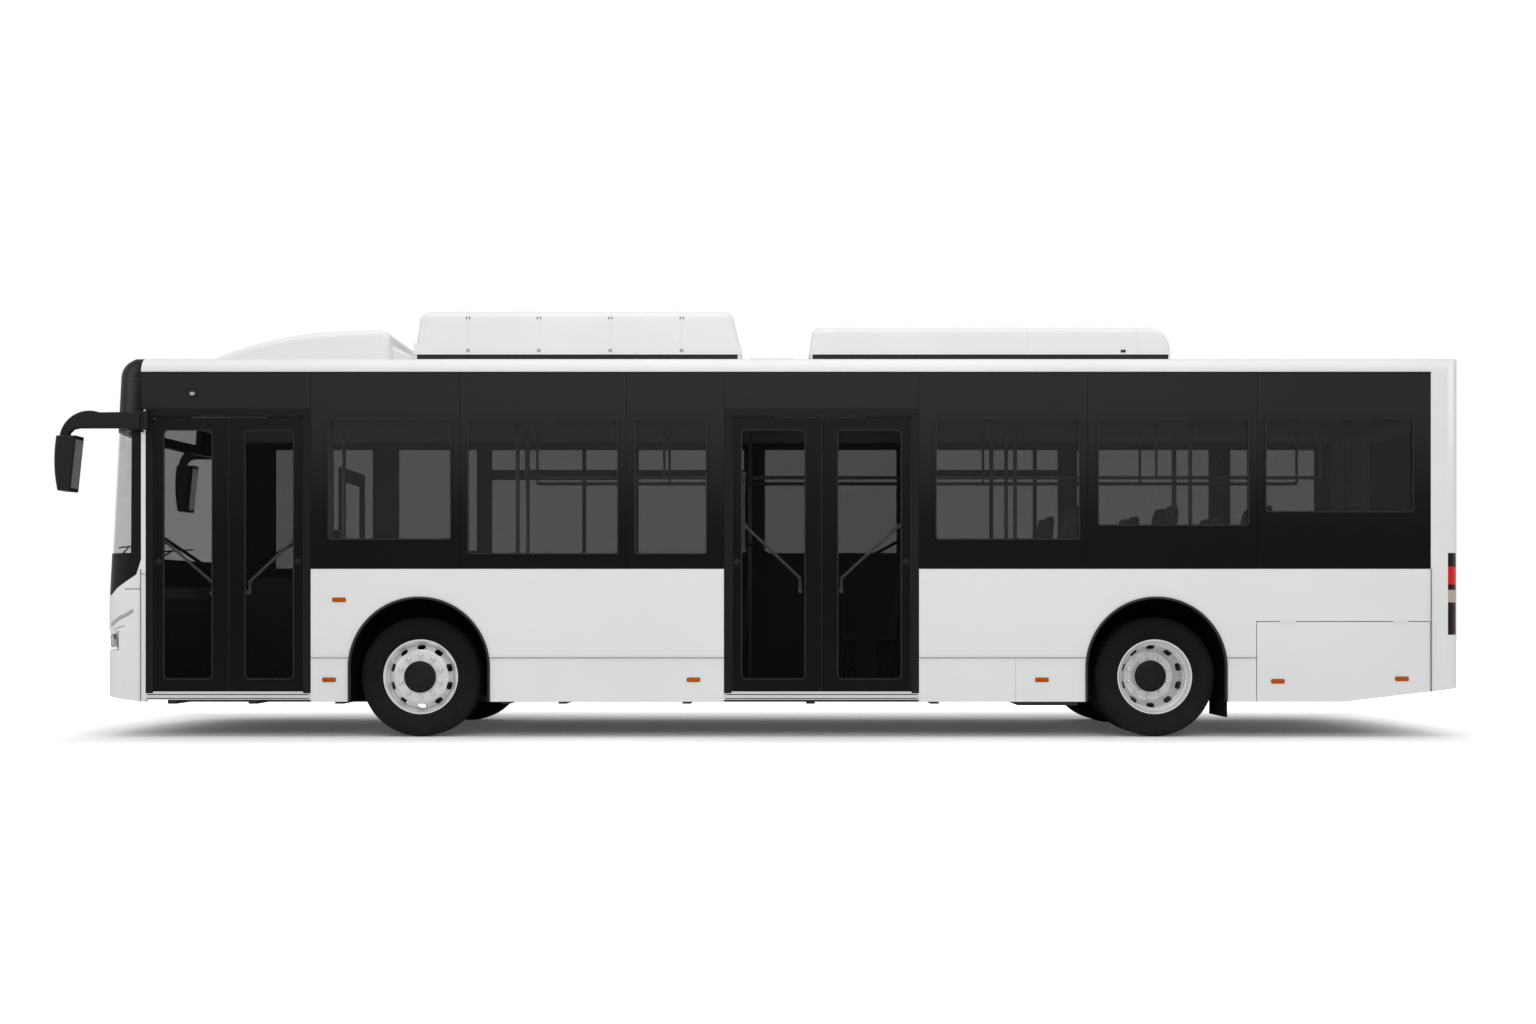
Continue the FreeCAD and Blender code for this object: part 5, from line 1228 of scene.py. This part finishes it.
@dataclass
class VentFrames:
    """The bars and dividers of the sliding vents, inside the windows of both sides."""

    bars: Tuple[Tuple[float, float, float], ...] = ((0.148, 1.400, 2.255), (1.535, 2.554, 2.292),
                                                    (4.205, 5.527, 2.292))
    bar_top: float = 2.352
    dividers: Tuple[Pair, ...] = ((1.034, 0.038), (4.883, 0.038), (5.295, 0.038), (6.610, 0.038))
    near_divider: Pair = (7.420, 0.027)
    depth: Pair = (1.222, 1.2365)
    divider_shy: float = 0.0006
    bevel: float = 0.003

    def build(self) -> None:
        """Makes one piece for each side."""
        near, far = bmesh.new(), bmesh.new()
        inner, outer = self.depth
        for start, end, low in self.bars:
            add_block(far, (station(start), inner, low), (station(end), outer, self.bar_top), self.bevel)
        for divider in self.dividers:
            self.divider(far, divider, Side.DRIVER, (inner + self.divider_shy, outer - self.divider_shy))
        add_piece("vent_frames_right", far, Paint.RUBBER_AND_GAP_SHADE, "body")
        self.divider(near, self.near_divider, Side.DOORS, (-outer, -inner))
        add_piece("vent_frames_left", near, Paint.RUBBER_AND_GAP_SHADE, "body")

    def divider(self, mesh: Shape, divider: Pair, side: Side, y: Pair) -> None:
        """Adds an upright from the bottom to the top of the pane that it stands in.

        Args:
            mesh: the bmesh to add to.
            divider: its station and its width.
            side: the side of its pane.
            y: its two faces along Y.
        """
        x, half = station(divider[0]), divider[1] / 2
        low, high = next(pane for pane in side_panes(side) if pane[0].x < x < pane[1].x)
        add_block(mesh, (x - half, y[0], low.z), (x + half, y[1], high.z), self.bevel)


# ---------------------------------------------------------------- small fittings
@dataclass
class RoofFittings:
    """Clips, brackets and the latch on the roof units, and dark strips along the units' feet that paint the
    shadow in the gap under them.
    """

    clip_stations: Tuple[float, ...] = (0.319, 0.903, 1.491, 2.078)
    clip_z: float = 3.423
    clip_shift: float = 0.013
    clip_half: Pair = (0.0035, 0.010)
    clip_y: Pair = (-0.002, 0.004)
    clip_bevel: float = 0.001
    bracket_z: float = 3.155
    bracket_half: Pair = (0.015, 0.012)
    bracket_y: Pair = (-0.002, 0.005)
    bracket_bevel: float = 0.002
    bracket_bolt: Tuple[RoundPart, ...] = ((0.004, 0.008, 0.006, 0.006, 6, 0.0),)
    latch: Pair = (5.712, 3.149)
    latch_half: Pair = (0.0205, 0.012)
    latch_y: Pair = (-0.002, 0.004)
    latch_bevel: float = 0.003
    # Dark strips at each unit's foot: painted shadow of the gap between the unit and the roof.
    gap_shade_inset: float = 0.03
    gap_shade_y: Pair = (0.8468, 0.8500)
    gap_shade_z: Pair = (3.060, 3.1215)

    def build(self) -> None:
        """Makes one piece of each kind, on both sides of the roof."""
        clips, brackets, gap_shades, latches = (bmesh.new() for _ in range(4))
        for side in Side:
            out = side.value
            for x in map(station, self.clip_stations):
                for shift in (-self.clip_shift, self.clip_shift):
                    self.plate(clips, "roof_pack_cover", side, (x + shift, self.clip_z), self.clip_half,
                               self.clip_y, self.clip_bevel)
                face = self.plate(brackets, "roof_pack_cover", side, (x, self.bracket_z), self.bracket_half,
                                  self.bracket_y, self.bracket_bevel)
                stack_rods(brackets, (x, face, self.bracket_z), out, self.bracket_bolt)
            self.plate(latches, "roof_air_conditioner", side, placed([self.latch])[0], self.latch_half,
                       self.latch_y, self.latch_bevel)
            # The dark strips along each unit's foot are painted shadow of the gap under it.
            for unit in ("roof_pack_cover", "roof_air_conditioner"):
                low, high = corners(unit)
                add_block(gap_shades, (low.x + self.gap_shade_inset, out * self.gap_shade_y[0], self.gap_shade_z[0]),
                          (high.x - self.gap_shade_inset, out * self.gap_shade_y[1], self.gap_shade_z[1]))
        add_piece("roof_clips", clips, Paint.GASKET, "body")
        add_piece("roof_brackets", brackets, Paint.GREY_TRIM_AND_CREASE_SHADE, "body")
        add_piece("roof_unit_gap_shade", gap_shades, Paint.RUBBER_AND_GAP_SHADE, "body")
        add_piece("roof_latches", latches, Paint.GASKET, "body")

    def plate(self, mesh: Shape, node: str, side: Side, place: Pair, half: Pair, y: Pair,
              bevel: float) -> float:
        """Adds a plate on the side of a roof unit.

        Args:
            mesh: the bmesh to add to.
            node: the unit's CAD node.
            side: the side of the bus.
            place: the plate's middle, as X and Z.
            half: half its size along X and along Z.
            y: its two faces, measured outward from the unit's face.
            bevel: the radius of its edges.

        Returns:
            The Y of the unit's face.
        """
        face = side_point(node, side, *place, 0.0)[1]
        add_plate(mesh, *place, half, (face + side.value * y[0], face + side.value * y[1]), bevel)
        return face


@dataclass
class BodyTrim:
    """Arch lips, gutter seals, grey strips that paint the shade in the panel joints, the door sensor, marker
    lamps' gaskets and the sills' grips.

    Each sensor layer is (name, finish, slot, share of the sensor's size, faces from the wall inward).
    """

    arch_z: float = 0.556
    skirt_z: float = 0.282
    arch_steps: int = 64
    lip_radii: Pair = (0.5678, 0.550)
    lip_y: Pair = (-0.001, -0.030)
    bead_radii: Pair = (0.5545, 0.5515)
    bead_y: Pair = (0.0015, -0.004)
    gutter_y: Pair = (-0.001, 0.0012)
    gutter_z: Pair = (2.9165, 2.9215)
    split_z: float = 0.634
    joint_half: float = 0.0025
    joint_y: Pair = (-0.003, 0.0006)
    joint_past_arch: float = 0.002
    end_joint_z: Tuple[Pair, Pair] = ((0.286, 1.343), (0.362, 1.343))
    front_joint_z: Pair = (1.3025, 1.3075)
    sensor: Pair = (-1.808, 2.746)
    sensor_half: Pair = (0.0365, 0.0250)
    sensor_steps: int = 40
    sensor_taper: float = 0.86
    sensor_layers: Tuple[Tuple[str, Paint, str, float, Pair], ...] = (
        ("door_sensor_rim", Paint.RUBBER_AND_GAP_SHADE, "black_plastic", 1.0, (0.001, -0.006)),
        ("door_sensor_eye", Paint.GREY_TRIM_AND_CREASE_SHADE, "light_plastic", 0.62, (0.0, -0.0085)))
    gasket_past: float = 0.003
    gasket_lift: float = 0.0022
    gasket_radius: float = 0.013
    gasket_width: float = 0.006
    bar_inset: float = 0.022
    bar_half_z: float = 0.0035
    bar_y: Pair = (-0.001, 0.0012)
    bar_bevel: float = 0.001
    grip_z: Pair = (0.3085, 0.3405)
    grip_half_z: float = 0.0035
    grip_inset: float = 0.012
    grip_y: Pair = (-0.0008, 0.002)

    def build(self) -> None:
        """Makes the pieces on both sides."""
        for side in Side:
            self.arches(side)
            self.gutter(side)
            self.joints(side)
        self.door_sensor()
        self.markers()
        self.sill_lines()

    def from_wall(self, side: Side, y: Pair) -> Pair:
        """Two places along Y that are measured outward from one side's wall."""
        return side.value * (WALL_Y + y[0]), side.value * (WALL_Y + y[1])

    def arch_line(self, x: float, radius: float) -> List[Pair]:
        """The points up one side of a wheel opening, over it and down the other side.

        Args:
            x: the opening's middle along X.
            radius: its radius.

        Returns:
            The (X, Z) points.
        """
        turns = [math.pi - math.pi * n / self.arch_steps for n in range(self.arch_steps + 1)]
        arc = [(x + radius * math.cos(t), self.arch_z + radius * math.sin(t)) for t in turns]
        return [(x - radius, self.skirt_z)] + arc + [(x + radius, self.skirt_z)]

    def arches(self, side: Side) -> None:
        """Adds the black lip and its fine bead round each wheel opening of one side.

        Args:
            side: the side.
        """
        lips = bmesh.new()
        for tyres in ("front_tyre_", "rear_tyres_"):
            x = middle(tyres + side.word).x
            for radii, y in ((self.lip_radii, self.lip_y), (self.bead_radii, self.bead_y)):
                outer, inner = (self.arch_line(x, radius) for radius in radii)
                add_band(lips, outer, inner, self.from_wall(side, y))
        add_piece("arch_lips_" + side.word, lips, Paint.GASKET, "body")

    def gutter(self, side: Side) -> None:
        """Adds the thin seal between the window band and the roof edge.

        Args:
            side: the side.
        """
        mesh = bmesh.new()
        low, high = corners("roof_skin")
        y = self.from_wall(side, self.gutter_y)
        add_block(mesh, (low.x, y[0], self.gutter_z[0]), (high.x, y[1], self.gutter_z[1]))
        add_piece("gutter_seal_" + side.word, mesh, Paint.RUBBER_AND_GAP_SHADE, "body")

    def joints(self, side: Side) -> None:
        """Adds grey strips along the side's panel joints: painted shade of the joint grooves.

        Args:
            side: the side.
        """
        mesh = bmesh.new()
        front, rear = (corner.x for corner in corners("roof_skin"))
        half = math.sqrt(self.lip_radii[0] ** 2 - (self.split_z - self.arch_z) ** 2) + self.joint_past_arch
        arches = [middle(tyres + side.word).x for tyres in ("front_tyre_", "rear_tyres_")]
        stops = [front, *(x + way * half for x in arches for way in (-1, 1)), rear]
        flats = [(stops[n], stops[n + 1]) for n in (0, 2, 4)]
        if side is Side.DOORS:
            first, second = solids_of("door_sills")
            flats = [(first[1].x, stops[1]), (stops[2], second[0].x), (second[1].x, stops[3]),
                     (stops[4], corners("service_flap")[0].x)]
        lines = [(x0, x1, self.split_z - self.joint_half, self.split_z + self.joint_half) for x0, x1 in flats]
        lines += [(x - self.joint_half, x + self.joint_half, *z)
                  for x, z in zip((front, rear), self.end_joint_z)]
        if side is Side.DOORS:
            lines.append((front, first[0].x, *self.front_joint_z))
        # The grey strips paint the shade in the joints' grooves.
        y = self.from_wall(side, self.joint_y)
        for x0, x1, z0, z1 in lines:
            add_block(mesh, (x0, y[0], z0), (x1, y[1], z1))
        add_piece("panel_joint_shade_" + side.word, mesh, Paint.SEAM, "body")

    def door_sensor(self) -> None:
        """Adds the oval door sensor above the front doorway."""
        (x, z), (half_x, half_z) = placed([self.sensor])[0], self.sensor_half
        for name, paint, slot, share, (near, far) in self.sensor_layers:
            mesh = bmesh.new()
            size = Matrix.Diagonal((half_x * share, half_z * share, near - far, 1))
            shape = (Matrix.Translation((x, -WALL_Y + (near + far) / 2, z))
                     @ Matrix.Rotation(math.pi / 2, 4, "X") @ size)
            bmesh.ops.create_cone(mesh, cap_ends=True, segments=self.sensor_steps, radius1=1.0,
                                  radius2=self.sensor_taper, depth=1.0, matrix=shape)
            add_piece(name, mesh, paint, "body")

    def markers(self) -> None:
        """Adds a dark gasket round every marker lamp and a raised bar on its lens."""
        for node, body in (("side_marker_lamps", "body"), ("flap_marker_lamps", "service_flap")):
            gaskets, bars = bmesh.new(), bmesh.new()
            for low, high in solids_of(node):
                out = 1 if low.y > 0 else -1
                wall, face = (low.y, high.y)[::out]
                past, centre_z = self.gasket_past, (low.z + high.z) / 2
                add_frame(gaskets, (low.x - past, high.x + past), (low.z - past, high.z + past),
                          (wall, wall + out * self.gasket_lift), self.gasket_radius, self.gasket_width)
                add_block(bars,
                          (low.x + self.bar_inset, face + out * self.bar_y[0], centre_z - self.bar_half_z),
                          (high.x - self.bar_inset, face + out * self.bar_y[1], centre_z + self.bar_half_z),
                          self.bar_bevel)
            add_piece(node.replace("lamps", "gaskets"), gaskets, Paint.GASKET, body)
            add_piece(node.replace("lamps", "bars"), bars, Paint.AMBER_LENS, body)

    def sill_lines(self) -> None:
        """Adds the two dark grip lines along each door sill."""
        mesh = bmesh.new()
        for low, high in solids_of("door_sills"):
            for z in self.grip_z:
                add_block(mesh, (low.x + self.grip_inset, low.y + self.grip_y[0], z - self.grip_half_z),
                          (high.x - self.grip_inset, low.y + self.grip_y[1], z + self.grip_half_z))
        add_piece("sill_grips", mesh, Paint.RUBBER_AND_GAP_SHADE, "body")


@dataclass
class Cabin:
    """The dark side linings, the grab rails inside the door leaves and the rear window's film."""

    lining_y: Pair = (1.1915, 1.1995)
    lining_top: float = 1.350
    floor_tops: Pair = (0.352, 0.775)
    first_gap: float = 0.03
    last_gap: float = 0.01
    joint_half: float = 0.0005
    house_low: float = 1.0              # a wheelhouse solid reaches above this, and its mud flap doesn't
    house_gap: float = 0.001
    rail_y: float = -1.176
    rail_radius: float = 0.0115
    rail_sides: int = 16
    ball_rings: int = 10
    rail_foot: float = 0.048            # from the body's side to a foot's face
    foot_plate: float = 0.004
    foot_shares: Pair = (0.8, 1.7)
    foot_sides: int = 12
    rails: Tuple[Tuple[str, Tuple[Pair, ...]], ...] = (
        ("middle_door_fore", ((2.612, 1.690), (3.050, 1.272), (3.050, 1.170))),
        ("middle_door_aft", ((3.838, 1.690), (3.380, 1.272), (3.380, 1.170))),
        ("front_door_fore", ((-2.046, 1.560), (-1.668, 1.232), (-1.668, 1.150))),
        ("front_door_aft", ((-1.012, 1.588), (-1.376, 1.246), (-1.376, 1.160))))
    uprights: Tuple[Tuple[str, float, float, float], ...] = (
        ("middle_door_fore", 2.598, 1.50, 2.11), ("front_door_aft", -1.004, 1.70, 2.25))
    film: float = 0.004
    film_inset: float = 0.002

    def build(self) -> None:
        """Makes the linings, the rails and the film."""
        self.linings()
        for name, path in self.rails:
            self.rail(name, path)
        self.rear_film()

    def linings(self) -> None:
        """Adds dark panels from the floor up on both sides, between the doorways and over the wheelhouses."""
        mesh = bmesh.new()
        step = corners("raised_floor")[0].x
        wall = corners("lower_wall_right")
        first, last = wall[0].x + self.first_gap, wall[1].x - self.last_gap
        for side in Side:
            houses = [box for box in solids_of("wheelhouses")
                      if box[1].z > self.house_low and box[0].y * side.value > 0]
            doorways = solids_of("door_sills") if side is Side.DOORS else []
            stops = sorted({first, step, last, *(corner.x for box in (*houses, *doorways) for corner in box)})
            for x0, x1 in zip(stops, stops[1:]):
                centre = (x0 + x1) / 2
                floor = max([self.floor_tops[centre >= step]]
                            + [high.z + self.house_gap for low, high in houses if low.x < centre < high.x])
                if x0 < first or any(low.x < centre < high.x for low, high in doorways):
                    continue
                add_block(mesh, (x0 + self.joint_half, side.value * self.lining_y[0], floor),
                          (x1 - self.joint_half, side.value * self.lining_y[1], self.lining_top))
        add_piece("side_linings", mesh, Paint.SIDE_LINING, "body")

    def rail(self, name: str, path: Sequence[Pair]) -> None:
        """Adds one leaf's bent grab rail on its two feet, and its upright where it has one.

        Args:
            name: the leaf's name without its last word.
            path: the (station, Z) corners of the rail.
        """
        mesh = bmesh.new()
        inside = -WALL_Y + self.rail_foot
        thin, wide = (self.rail_radius * share for share in self.foot_shares)
        points = [(x, self.rail_y, z) for x, z in placed(path)]
        for start, end in zip(points, points[1:]):
            add_rod(mesh, start, end, self.rail_radius, self.rail_sides)
            bmesh.ops.create_uvsphere(mesh, u_segments=self.rail_sides, v_segments=self.ball_rings,
                                      radius=self.rail_radius, matrix=Matrix.Translation(end))
        feet = [points[0], points[-1]]
        for leaf, at, low, high in self.uprights:
            if leaf == name:
                ends = [(station(at), self.rail_y, z) for z in (low, high)]
                add_rod(mesh, *ends, thin, self.rail_sides)
                feet += ends
        for x, y, z in feet:
            add_rod(mesh, (x, y, z), (x, inside, z), thin, self.foot_sides)
            add_rod(mesh, (x, inside + self.foot_plate, z), (x, inside, z), wide, self.rail_sides)
        add_piece(name + "_rail", mesh, Paint.RAIL, name + "_leaf")

    def rear_film(self) -> None:
        """Adds the dark film inside the rear window."""
        mesh, inset = bmesh.new(), self.film_inset
        for low, high in solids_of("body_windows"):
            if high.y - low.y > REAR_PANE_WIDTH:
                add_block(mesh, (low.x - self.film, low.y + inset, low.z + inset),
                          (low.x, high.y - inset, high.z - inset))
        add_piece("rear_window_film", mesh, Paint.GASKET, "body")


@dataclass
class MirrorFaces:
    """The mirror glass in the rear of each head, and its rubber rim.

    Each layer is (name, finish, slot, inset, lift, depth).
    """

    line: Tuple[Pair, Pair] = ((-2.678, 2.396), (-2.724, 1.954))
    across: Pair = (1.236, 1.440)
    layers: Tuple[Tuple[str, Paint, str, float, float, float], ...] = (
        ("mirror_glass", Paint.MIRROR, "aluminium", 0.029, 0.0028, 0.004),
        ("mirror_rims", Paint.RUBBER_AND_GAP_SHADE, "black_plastic", 0.022, 0.0015, 0.006))

    def build(self) -> None:
        """Makes both mirrors' glass and rims."""
        (x0, z0), (x1, z1) = self.line
        length = math.hypot(x1 - x0, z1 - z0)
        down = ((x1 - x0) / length, (z1 - z0) / length)
        back = (-down[1], down[0])
        for name, paint, slot, inset, lift, depth in self.layers:
            mesh = bmesh.new()
            widths = (self.across[0] + inset, self.across[1] - inset)
            for side in Side:
                rows = []
                for along in (inset, length - inset):
                    x = station(x0) + down[0] * along + back[0] * lift
                    z = z0 + down[1] * along + back[1] * lift
                    rows.append([(x, side.value * y, z) for y in widths])
                add_skin(mesh, rows, (-back[0] * depth, 0, -back[1] * depth))
            add_piece(name, mesh, paint, "body")


@dataclass
class TailLamps:
    """The lit cells of the tail lamps: slices of the lamps' own shape that stand a little proud."""

    cells: Tuple[Tuple[str, Paint, float, float], ...] = (
        ("tail_cells_red", Paint.RED_LENS, 1.222, 1.364), ("tail_cells_pale", Paint.PALE_LENS, 1.077, 1.178))
    proud: float = 0.0012

    def build(self) -> None:
        """Makes the cells of both lamps."""
        for name, paint, low, high in self.cells:
            mesh = merged_mesh("tail_lamps")
            for z, up in ((low, -1), (high, 1)):
                cut = bmesh.ops.bisect_plane(mesh, geom=mesh.verts[:] + mesh.edges[:] + mesh.faces[:],
                                             plane_co=(0, 0, z), plane_no=(0, 0, up), clear_outer=True)
                rim = [item for item in cut["geom_cut"] if isinstance(item, bmesh.types.BMEdge)]
                bmesh.ops.triangle_fill(mesh, use_beauty=True, use_dissolve=False, edges=rim)
            bmesh.ops.recalc_face_normals(mesh, faces=mesh.faces)
            mesh.normal_update()
            for vert in mesh.verts:
                vert.co += Vector((vert.normal.x, vert.normal.y, 0)) * self.proud
            add_piece(name, mesh, paint, "body")


@dataclass
class FrontFittings:
    """Grey ribbons that paint the shade in the front's creases, the front's joint lines, the headlamps'
    insides and the wipers.
    """

    # Grey raised ribbons along the mask's creases: painted shade of the concave creases.
    creases: Tuple[Tuple[Tuple[Pair, ...], float], ...] = (
        (((-2.506, 0.892), (-2.474, 0.914), (-2.411, 0.952), (-2.334, 0.984), (-2.288, 1.014)), 0.030),
        (((-2.470, 0.859), (-2.430, 0.873), (-2.363, 0.892)), 0.009))
    crease_lift: float = 0.0012
    crease_crown: float = 0.004
    joints: Tuple[Tuple[Pair, Pair], ...] = (
        ((-2.362, 1.185), (-2.226, 1.185)), ((-2.430, 2.868), (-2.226, 2.868)))
    joint_width: float = 0.006
    joint_lift: float = 0.0008
    lamp_marks: Tuple[Tuple[Tuple[Pair, ...], float], ...] = (
        (((-2.452, 0.836), (-2.437, 0.785), (-2.430, 0.722)), 0.009),
        (((-2.472, 0.822), (-2.462, 0.782)), 0.022))
    cells: Tuple[Pair, ...] = ((0.834, 0.056), (0.954, 0.056), (1.060, 0.044))
    cell_rim: Tuple[Pair, ...] = ((1.0, 0.001), (0.92, 0.001), (0.92, 0.006), (1.0, 0.006))
    cell_bowl: Tuple[Pair, ...] = (
        (0.92, 0.003), (0.86, 0.010), (0.66, 0.017), (0.42, 0.021), (0.42, 0.013), (0.36, 0.009),
        (0.20, 0.006), (0.0, 0.005), (0.0, 0.024), (0.92, 0.024))
    cell_steps: int = 40
    wiper_spans: Tuple[Pair, Pair] = ((-0.78, -0.06), (0.20, 0.92))
    blade_steps: int = 8
    blade_gap: float = 0.010
    blade_z: Pair = (0.060, 0.05)
    blade_at_z: float = 0.115
    blade_radius: float = 0.007
    blade_sides: int = 10
    foot: Pair = (0.004, -0.020)
    foot_at_z: float = 0.05
    arm_radii: Pair = (0.009, 0.006)
    arm_sides: int = 12
    arm_end: Point = (-0.012, 0, 0.002)
    boss_x: Pair = (-0.016, 0.030)
    boss_radius: float = 0.018
    boss_sides: int = 24
    boss_bevel: float = 0.003

    def build(self) -> None:
        """Makes the pieces of the front."""
        grey, dark = bmesh.new(), bmesh.new()
        for side in Side:
            for path, width in self.creases:
                # The creases' grey ribbons are painted shade.
                add_ribbon(grey, "front_mask", side, path, width, self.crease_lift, self.crease_crown)
            for path in self.joints:
                for node in ("front_mask", "front_surround"):
                    add_ribbon(dark, node, side, path, self.joint_width, self.joint_lift)
            for path, width in self.lamp_marks:
                add_ribbon(dark, "headlamps", side, path, width, self.joint_lift)
        add_piece("front_crease_shade", grey, Paint.GREY_TRIM_AND_CREASE_SHADE, "body")
        add_piece("front_joint_lines", dark, Paint.GASKET, "body")
        self.lamp_cells()
        self.wipers()

    def lamp_cells(self) -> None:
        """Adds the reflectors that show through the headlamps' lenses, each in its rim."""
        z = middle("headlamps").z
        for name, outline, paint, slot in (("headlamp_rims", self.cell_rim, Paint.GREY_TRIM_AND_CREASE_SHADE, "light_plastic"),
                                           ("headlamp_reflectors", self.cell_bowl, Paint.RIM, "aluminium")):
            mesh = bmesh.new()
            for side in Side:
                for y, radius in self.cells:
                    self.add_cell(mesh, (side.value * y, z), radius, outline)
            add_piece(name, mesh, paint, "body")

    def add_cell(self, mesh: Shape, centre: Pair, radius: float, outline: Sequence[Pair]) -> None:
        """Adds a ring or bowl that lies just under a headlamp's lens.

        Args:
            mesh: the bmesh to add to.
            centre: its Y and Z.
            radius: its outer radius.
            outline: the closed section, as shares of the radius and depths under the lens.
        """
        turns = [math.tau * n / self.cell_steps for n in range(self.cell_steps)]
        rings: List[List[bmesh.types.BMVert]] = []
        for share, depth in outline:
            places = [(centre[0] + radius * share * math.cos(t), centre[1] + radius * share * math.sin(t))
                      for t in turns]
            rings.append([mesh.verts.new((front_x("headlamps", y, z) + depth, y, z)) for y, z in places])
        for at, ring in enumerate(rings):
            after = (at + 1) % len(rings)
            on_axis = outline[at][0] == outline[after][0] == 0.0
            for n in range(0 if on_axis else self.cell_steps):
                mesh.faces.new((ring[n - 1], ring[n], rings[after][n], rings[after][n - 1]))

    def wipers(self) -> None:
        """Adds two wipers that rest along the bottom of the windscreen."""
        mesh = bmesh.new()
        base_z = corners("windscreen")[0].z
        for pivot, tip in self.wiper_spans:
            blade = []
            for n in range(self.blade_steps + 1):
                y = pivot + (tip - pivot) * n / self.blade_steps
                x = front_x("windscreen", y, base_z + self.blade_at_z) - self.blade_gap
                rise = self.blade_z[0] + self.blade_z[1] * n / self.blade_steps
                blade.append(Vector((x, y, base_z + rise)))
            for start, end in zip(blade, blade[1:]):
                add_rod(mesh, start, end, self.blade_radius, self.blade_sides)
            foot = Vector((front_x("windscreen", pivot, base_z + self.foot_at_z) - self.foot[0], pivot,
                           base_z + self.foot[1]))
            arm = (foot, blade[self.blade_steps // 2] + Vector(self.arm_end))
            add_rod(mesh, *arm, self.arm_radii[0], self.arm_sides, self.arm_radii[1])
            boss = [foot + Vector((x, 0, 0)) for x in self.boss_x]
            add_rod(mesh, *boss, self.boss_radius, self.boss_sides, None, self.boss_bevel)
        add_piece("wipers", mesh, Paint.PLASTIC, "body")


@dataclass
class DriverPads:
    """The driver's cushion and backrest, swelled as cloth over foam and then sewn across."""

    node: str = "driver_seat_pads"
    voxel: float = 0.010
    inset: float = 0.007
    swell: float = 0.011
    pressure: float = 4.0
    frames: int = 20
    resting_z: float = -0.8             # points whose normal's Z is lower lie on the seat's shell and stay
    upright_height: float = 0.4
    channels: Tuple[Pair, Point] = ((0.38, 0.74), (0.30, 0.62, 0.82))
    channel_depth: float = 0.0045
    channel_reach: float = 0.008
    channel_facing: float = 0.5
    fit: float = 1e-4

    def build(self) -> None:
        """Makes the two pads."""
        for name, box in zip(("driver_cushion", "driver_backrest"), solids_of(self.node)):
            pad = self.foam(name, box)
            self.swell_cloth(pad)
            self.sew(pad, box)
            for face in pad.data.polygons:
                face.use_smooth = True
            smooth = pad.modifiers.new("Smooth", "SUBSURF")
            smooth.levels = smooth.render_levels = 1
            pad.data.materials.append(Paint.CLOTH.material())
            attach(pad, "body")
            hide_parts(self.node)
            LOG.info("pad %s: %d faces", name, len(pad.data.polygons))

    def foam(self, name: str, box: Box) -> bpy.types.Object:
        """Copies one pad out of the CAD node and remeshes it a little smaller.

        Args:
            name: the new object's name.
            box: the pad's lowest and highest corners.

        Returns:
            The remeshed object.
        """
        low, high = box
        mesh = merged_mesh(self.node)
        far = [v for v in mesh.verts
               if any(v.co[i] < low[i] - self.fit or v.co[i] > high[i] + self.fit for i in range(3))]
        bmesh.ops.delete(mesh, geom=far, context="VERTS")
        bmesh.ops.recalc_face_normals(mesh, faces=mesh.faces)
        pad = new_object(name, mesh_data(name, mesh))
        remesh = pad.modifiers.new("Foam", "REMESH")
        remesh.mode = "VOXEL"
        remesh.voxel_size = self.voxel
        self.freeze(pad)
        for vert in pad.data.vertices:
            vert.co -= vert.normal * self.inset
        return pad

    def freeze(self, pad: bpy.types.Object) -> None:
        """Gives a pad the mesh that its modifiers make, and takes the modifiers off.

        Args:
            pad: the pad.
        """
        graph = bpy.context.evaluated_depsgraph_get()
        made = bpy.data.meshes.new_from_object(pad.evaluated_get(graph))
        pad.modifiers.clear()
        pad.data = made

    def swell_cloth(self, pad: bpy.types.Object) -> None:
        """Blows the pad up as cloth and holds each point within reach of its foam.

        Args:
            pad: the pad.
        """
        start = [(vert.co.copy(), vert.normal.z < self.resting_z) for vert in pad.data.vertices]
        cloth = pad.modifiers.new("Cloth", "CLOTH")
        cloth.settings.use_pressure = True
        cloth.settings.uniform_pressure_force = self.pressure
        cloth.settings.effector_weights.gravity = 0.0
        cloth.point_cache.frame_start, cloth.point_cache.frame_end = 1, self.frames
        scene = bpy.context.scene
        for frame_number in range(1, self.frames + 1):
            scene.frame_set(frame_number)
        self.freeze(pad)
        scene.frame_set(1)
        for vert, (place, rests) in zip(pad.data.vertices, start):
            move = vert.co - place
            if rests:
                move = Vector()
            elif move.length > self.swell:
                move = move.normalized() * self.swell
            vert.co = place + move

    def sew(self, pad: bpy.types.Object, box: Box) -> None:
        """Presses sewn channels across a pad's front or top face.

        Args:
            pad: the pad.
            box: its lowest and highest corners.
        """
        low, high = box
        upright = high.z - low.z > self.upright_height
        axis = 2 if upright else 0
        lines = [low[axis] + (high[axis] - low[axis]) * share for share in self.channels[upright]]
        for vert in pad.data.vertices:
            facing = -vert.normal.x if upright else vert.normal.z
            if facing < self.channel_facing:
                continue
            press = max(math.exp(-((vert.co[axis] - line) / self.channel_reach) ** 2) for line in lines)
            vert.co -= vert.normal * self.channel_depth * press


def main() -> None:
    """Builds every sub-assembly in order."""
    logging.basicConfig(level=logging.INFO, format="%(message)s")
    for assembly in (Studio, Shell, RunningGear, Doors, Glazing, RoofFittings, BodyTrim, VentFrames, Cabin,
                     MirrorFaces, TailLamps, FrontFittings, DriverPads):
        assembly().build()


if __name__ == "__main__":
    main()
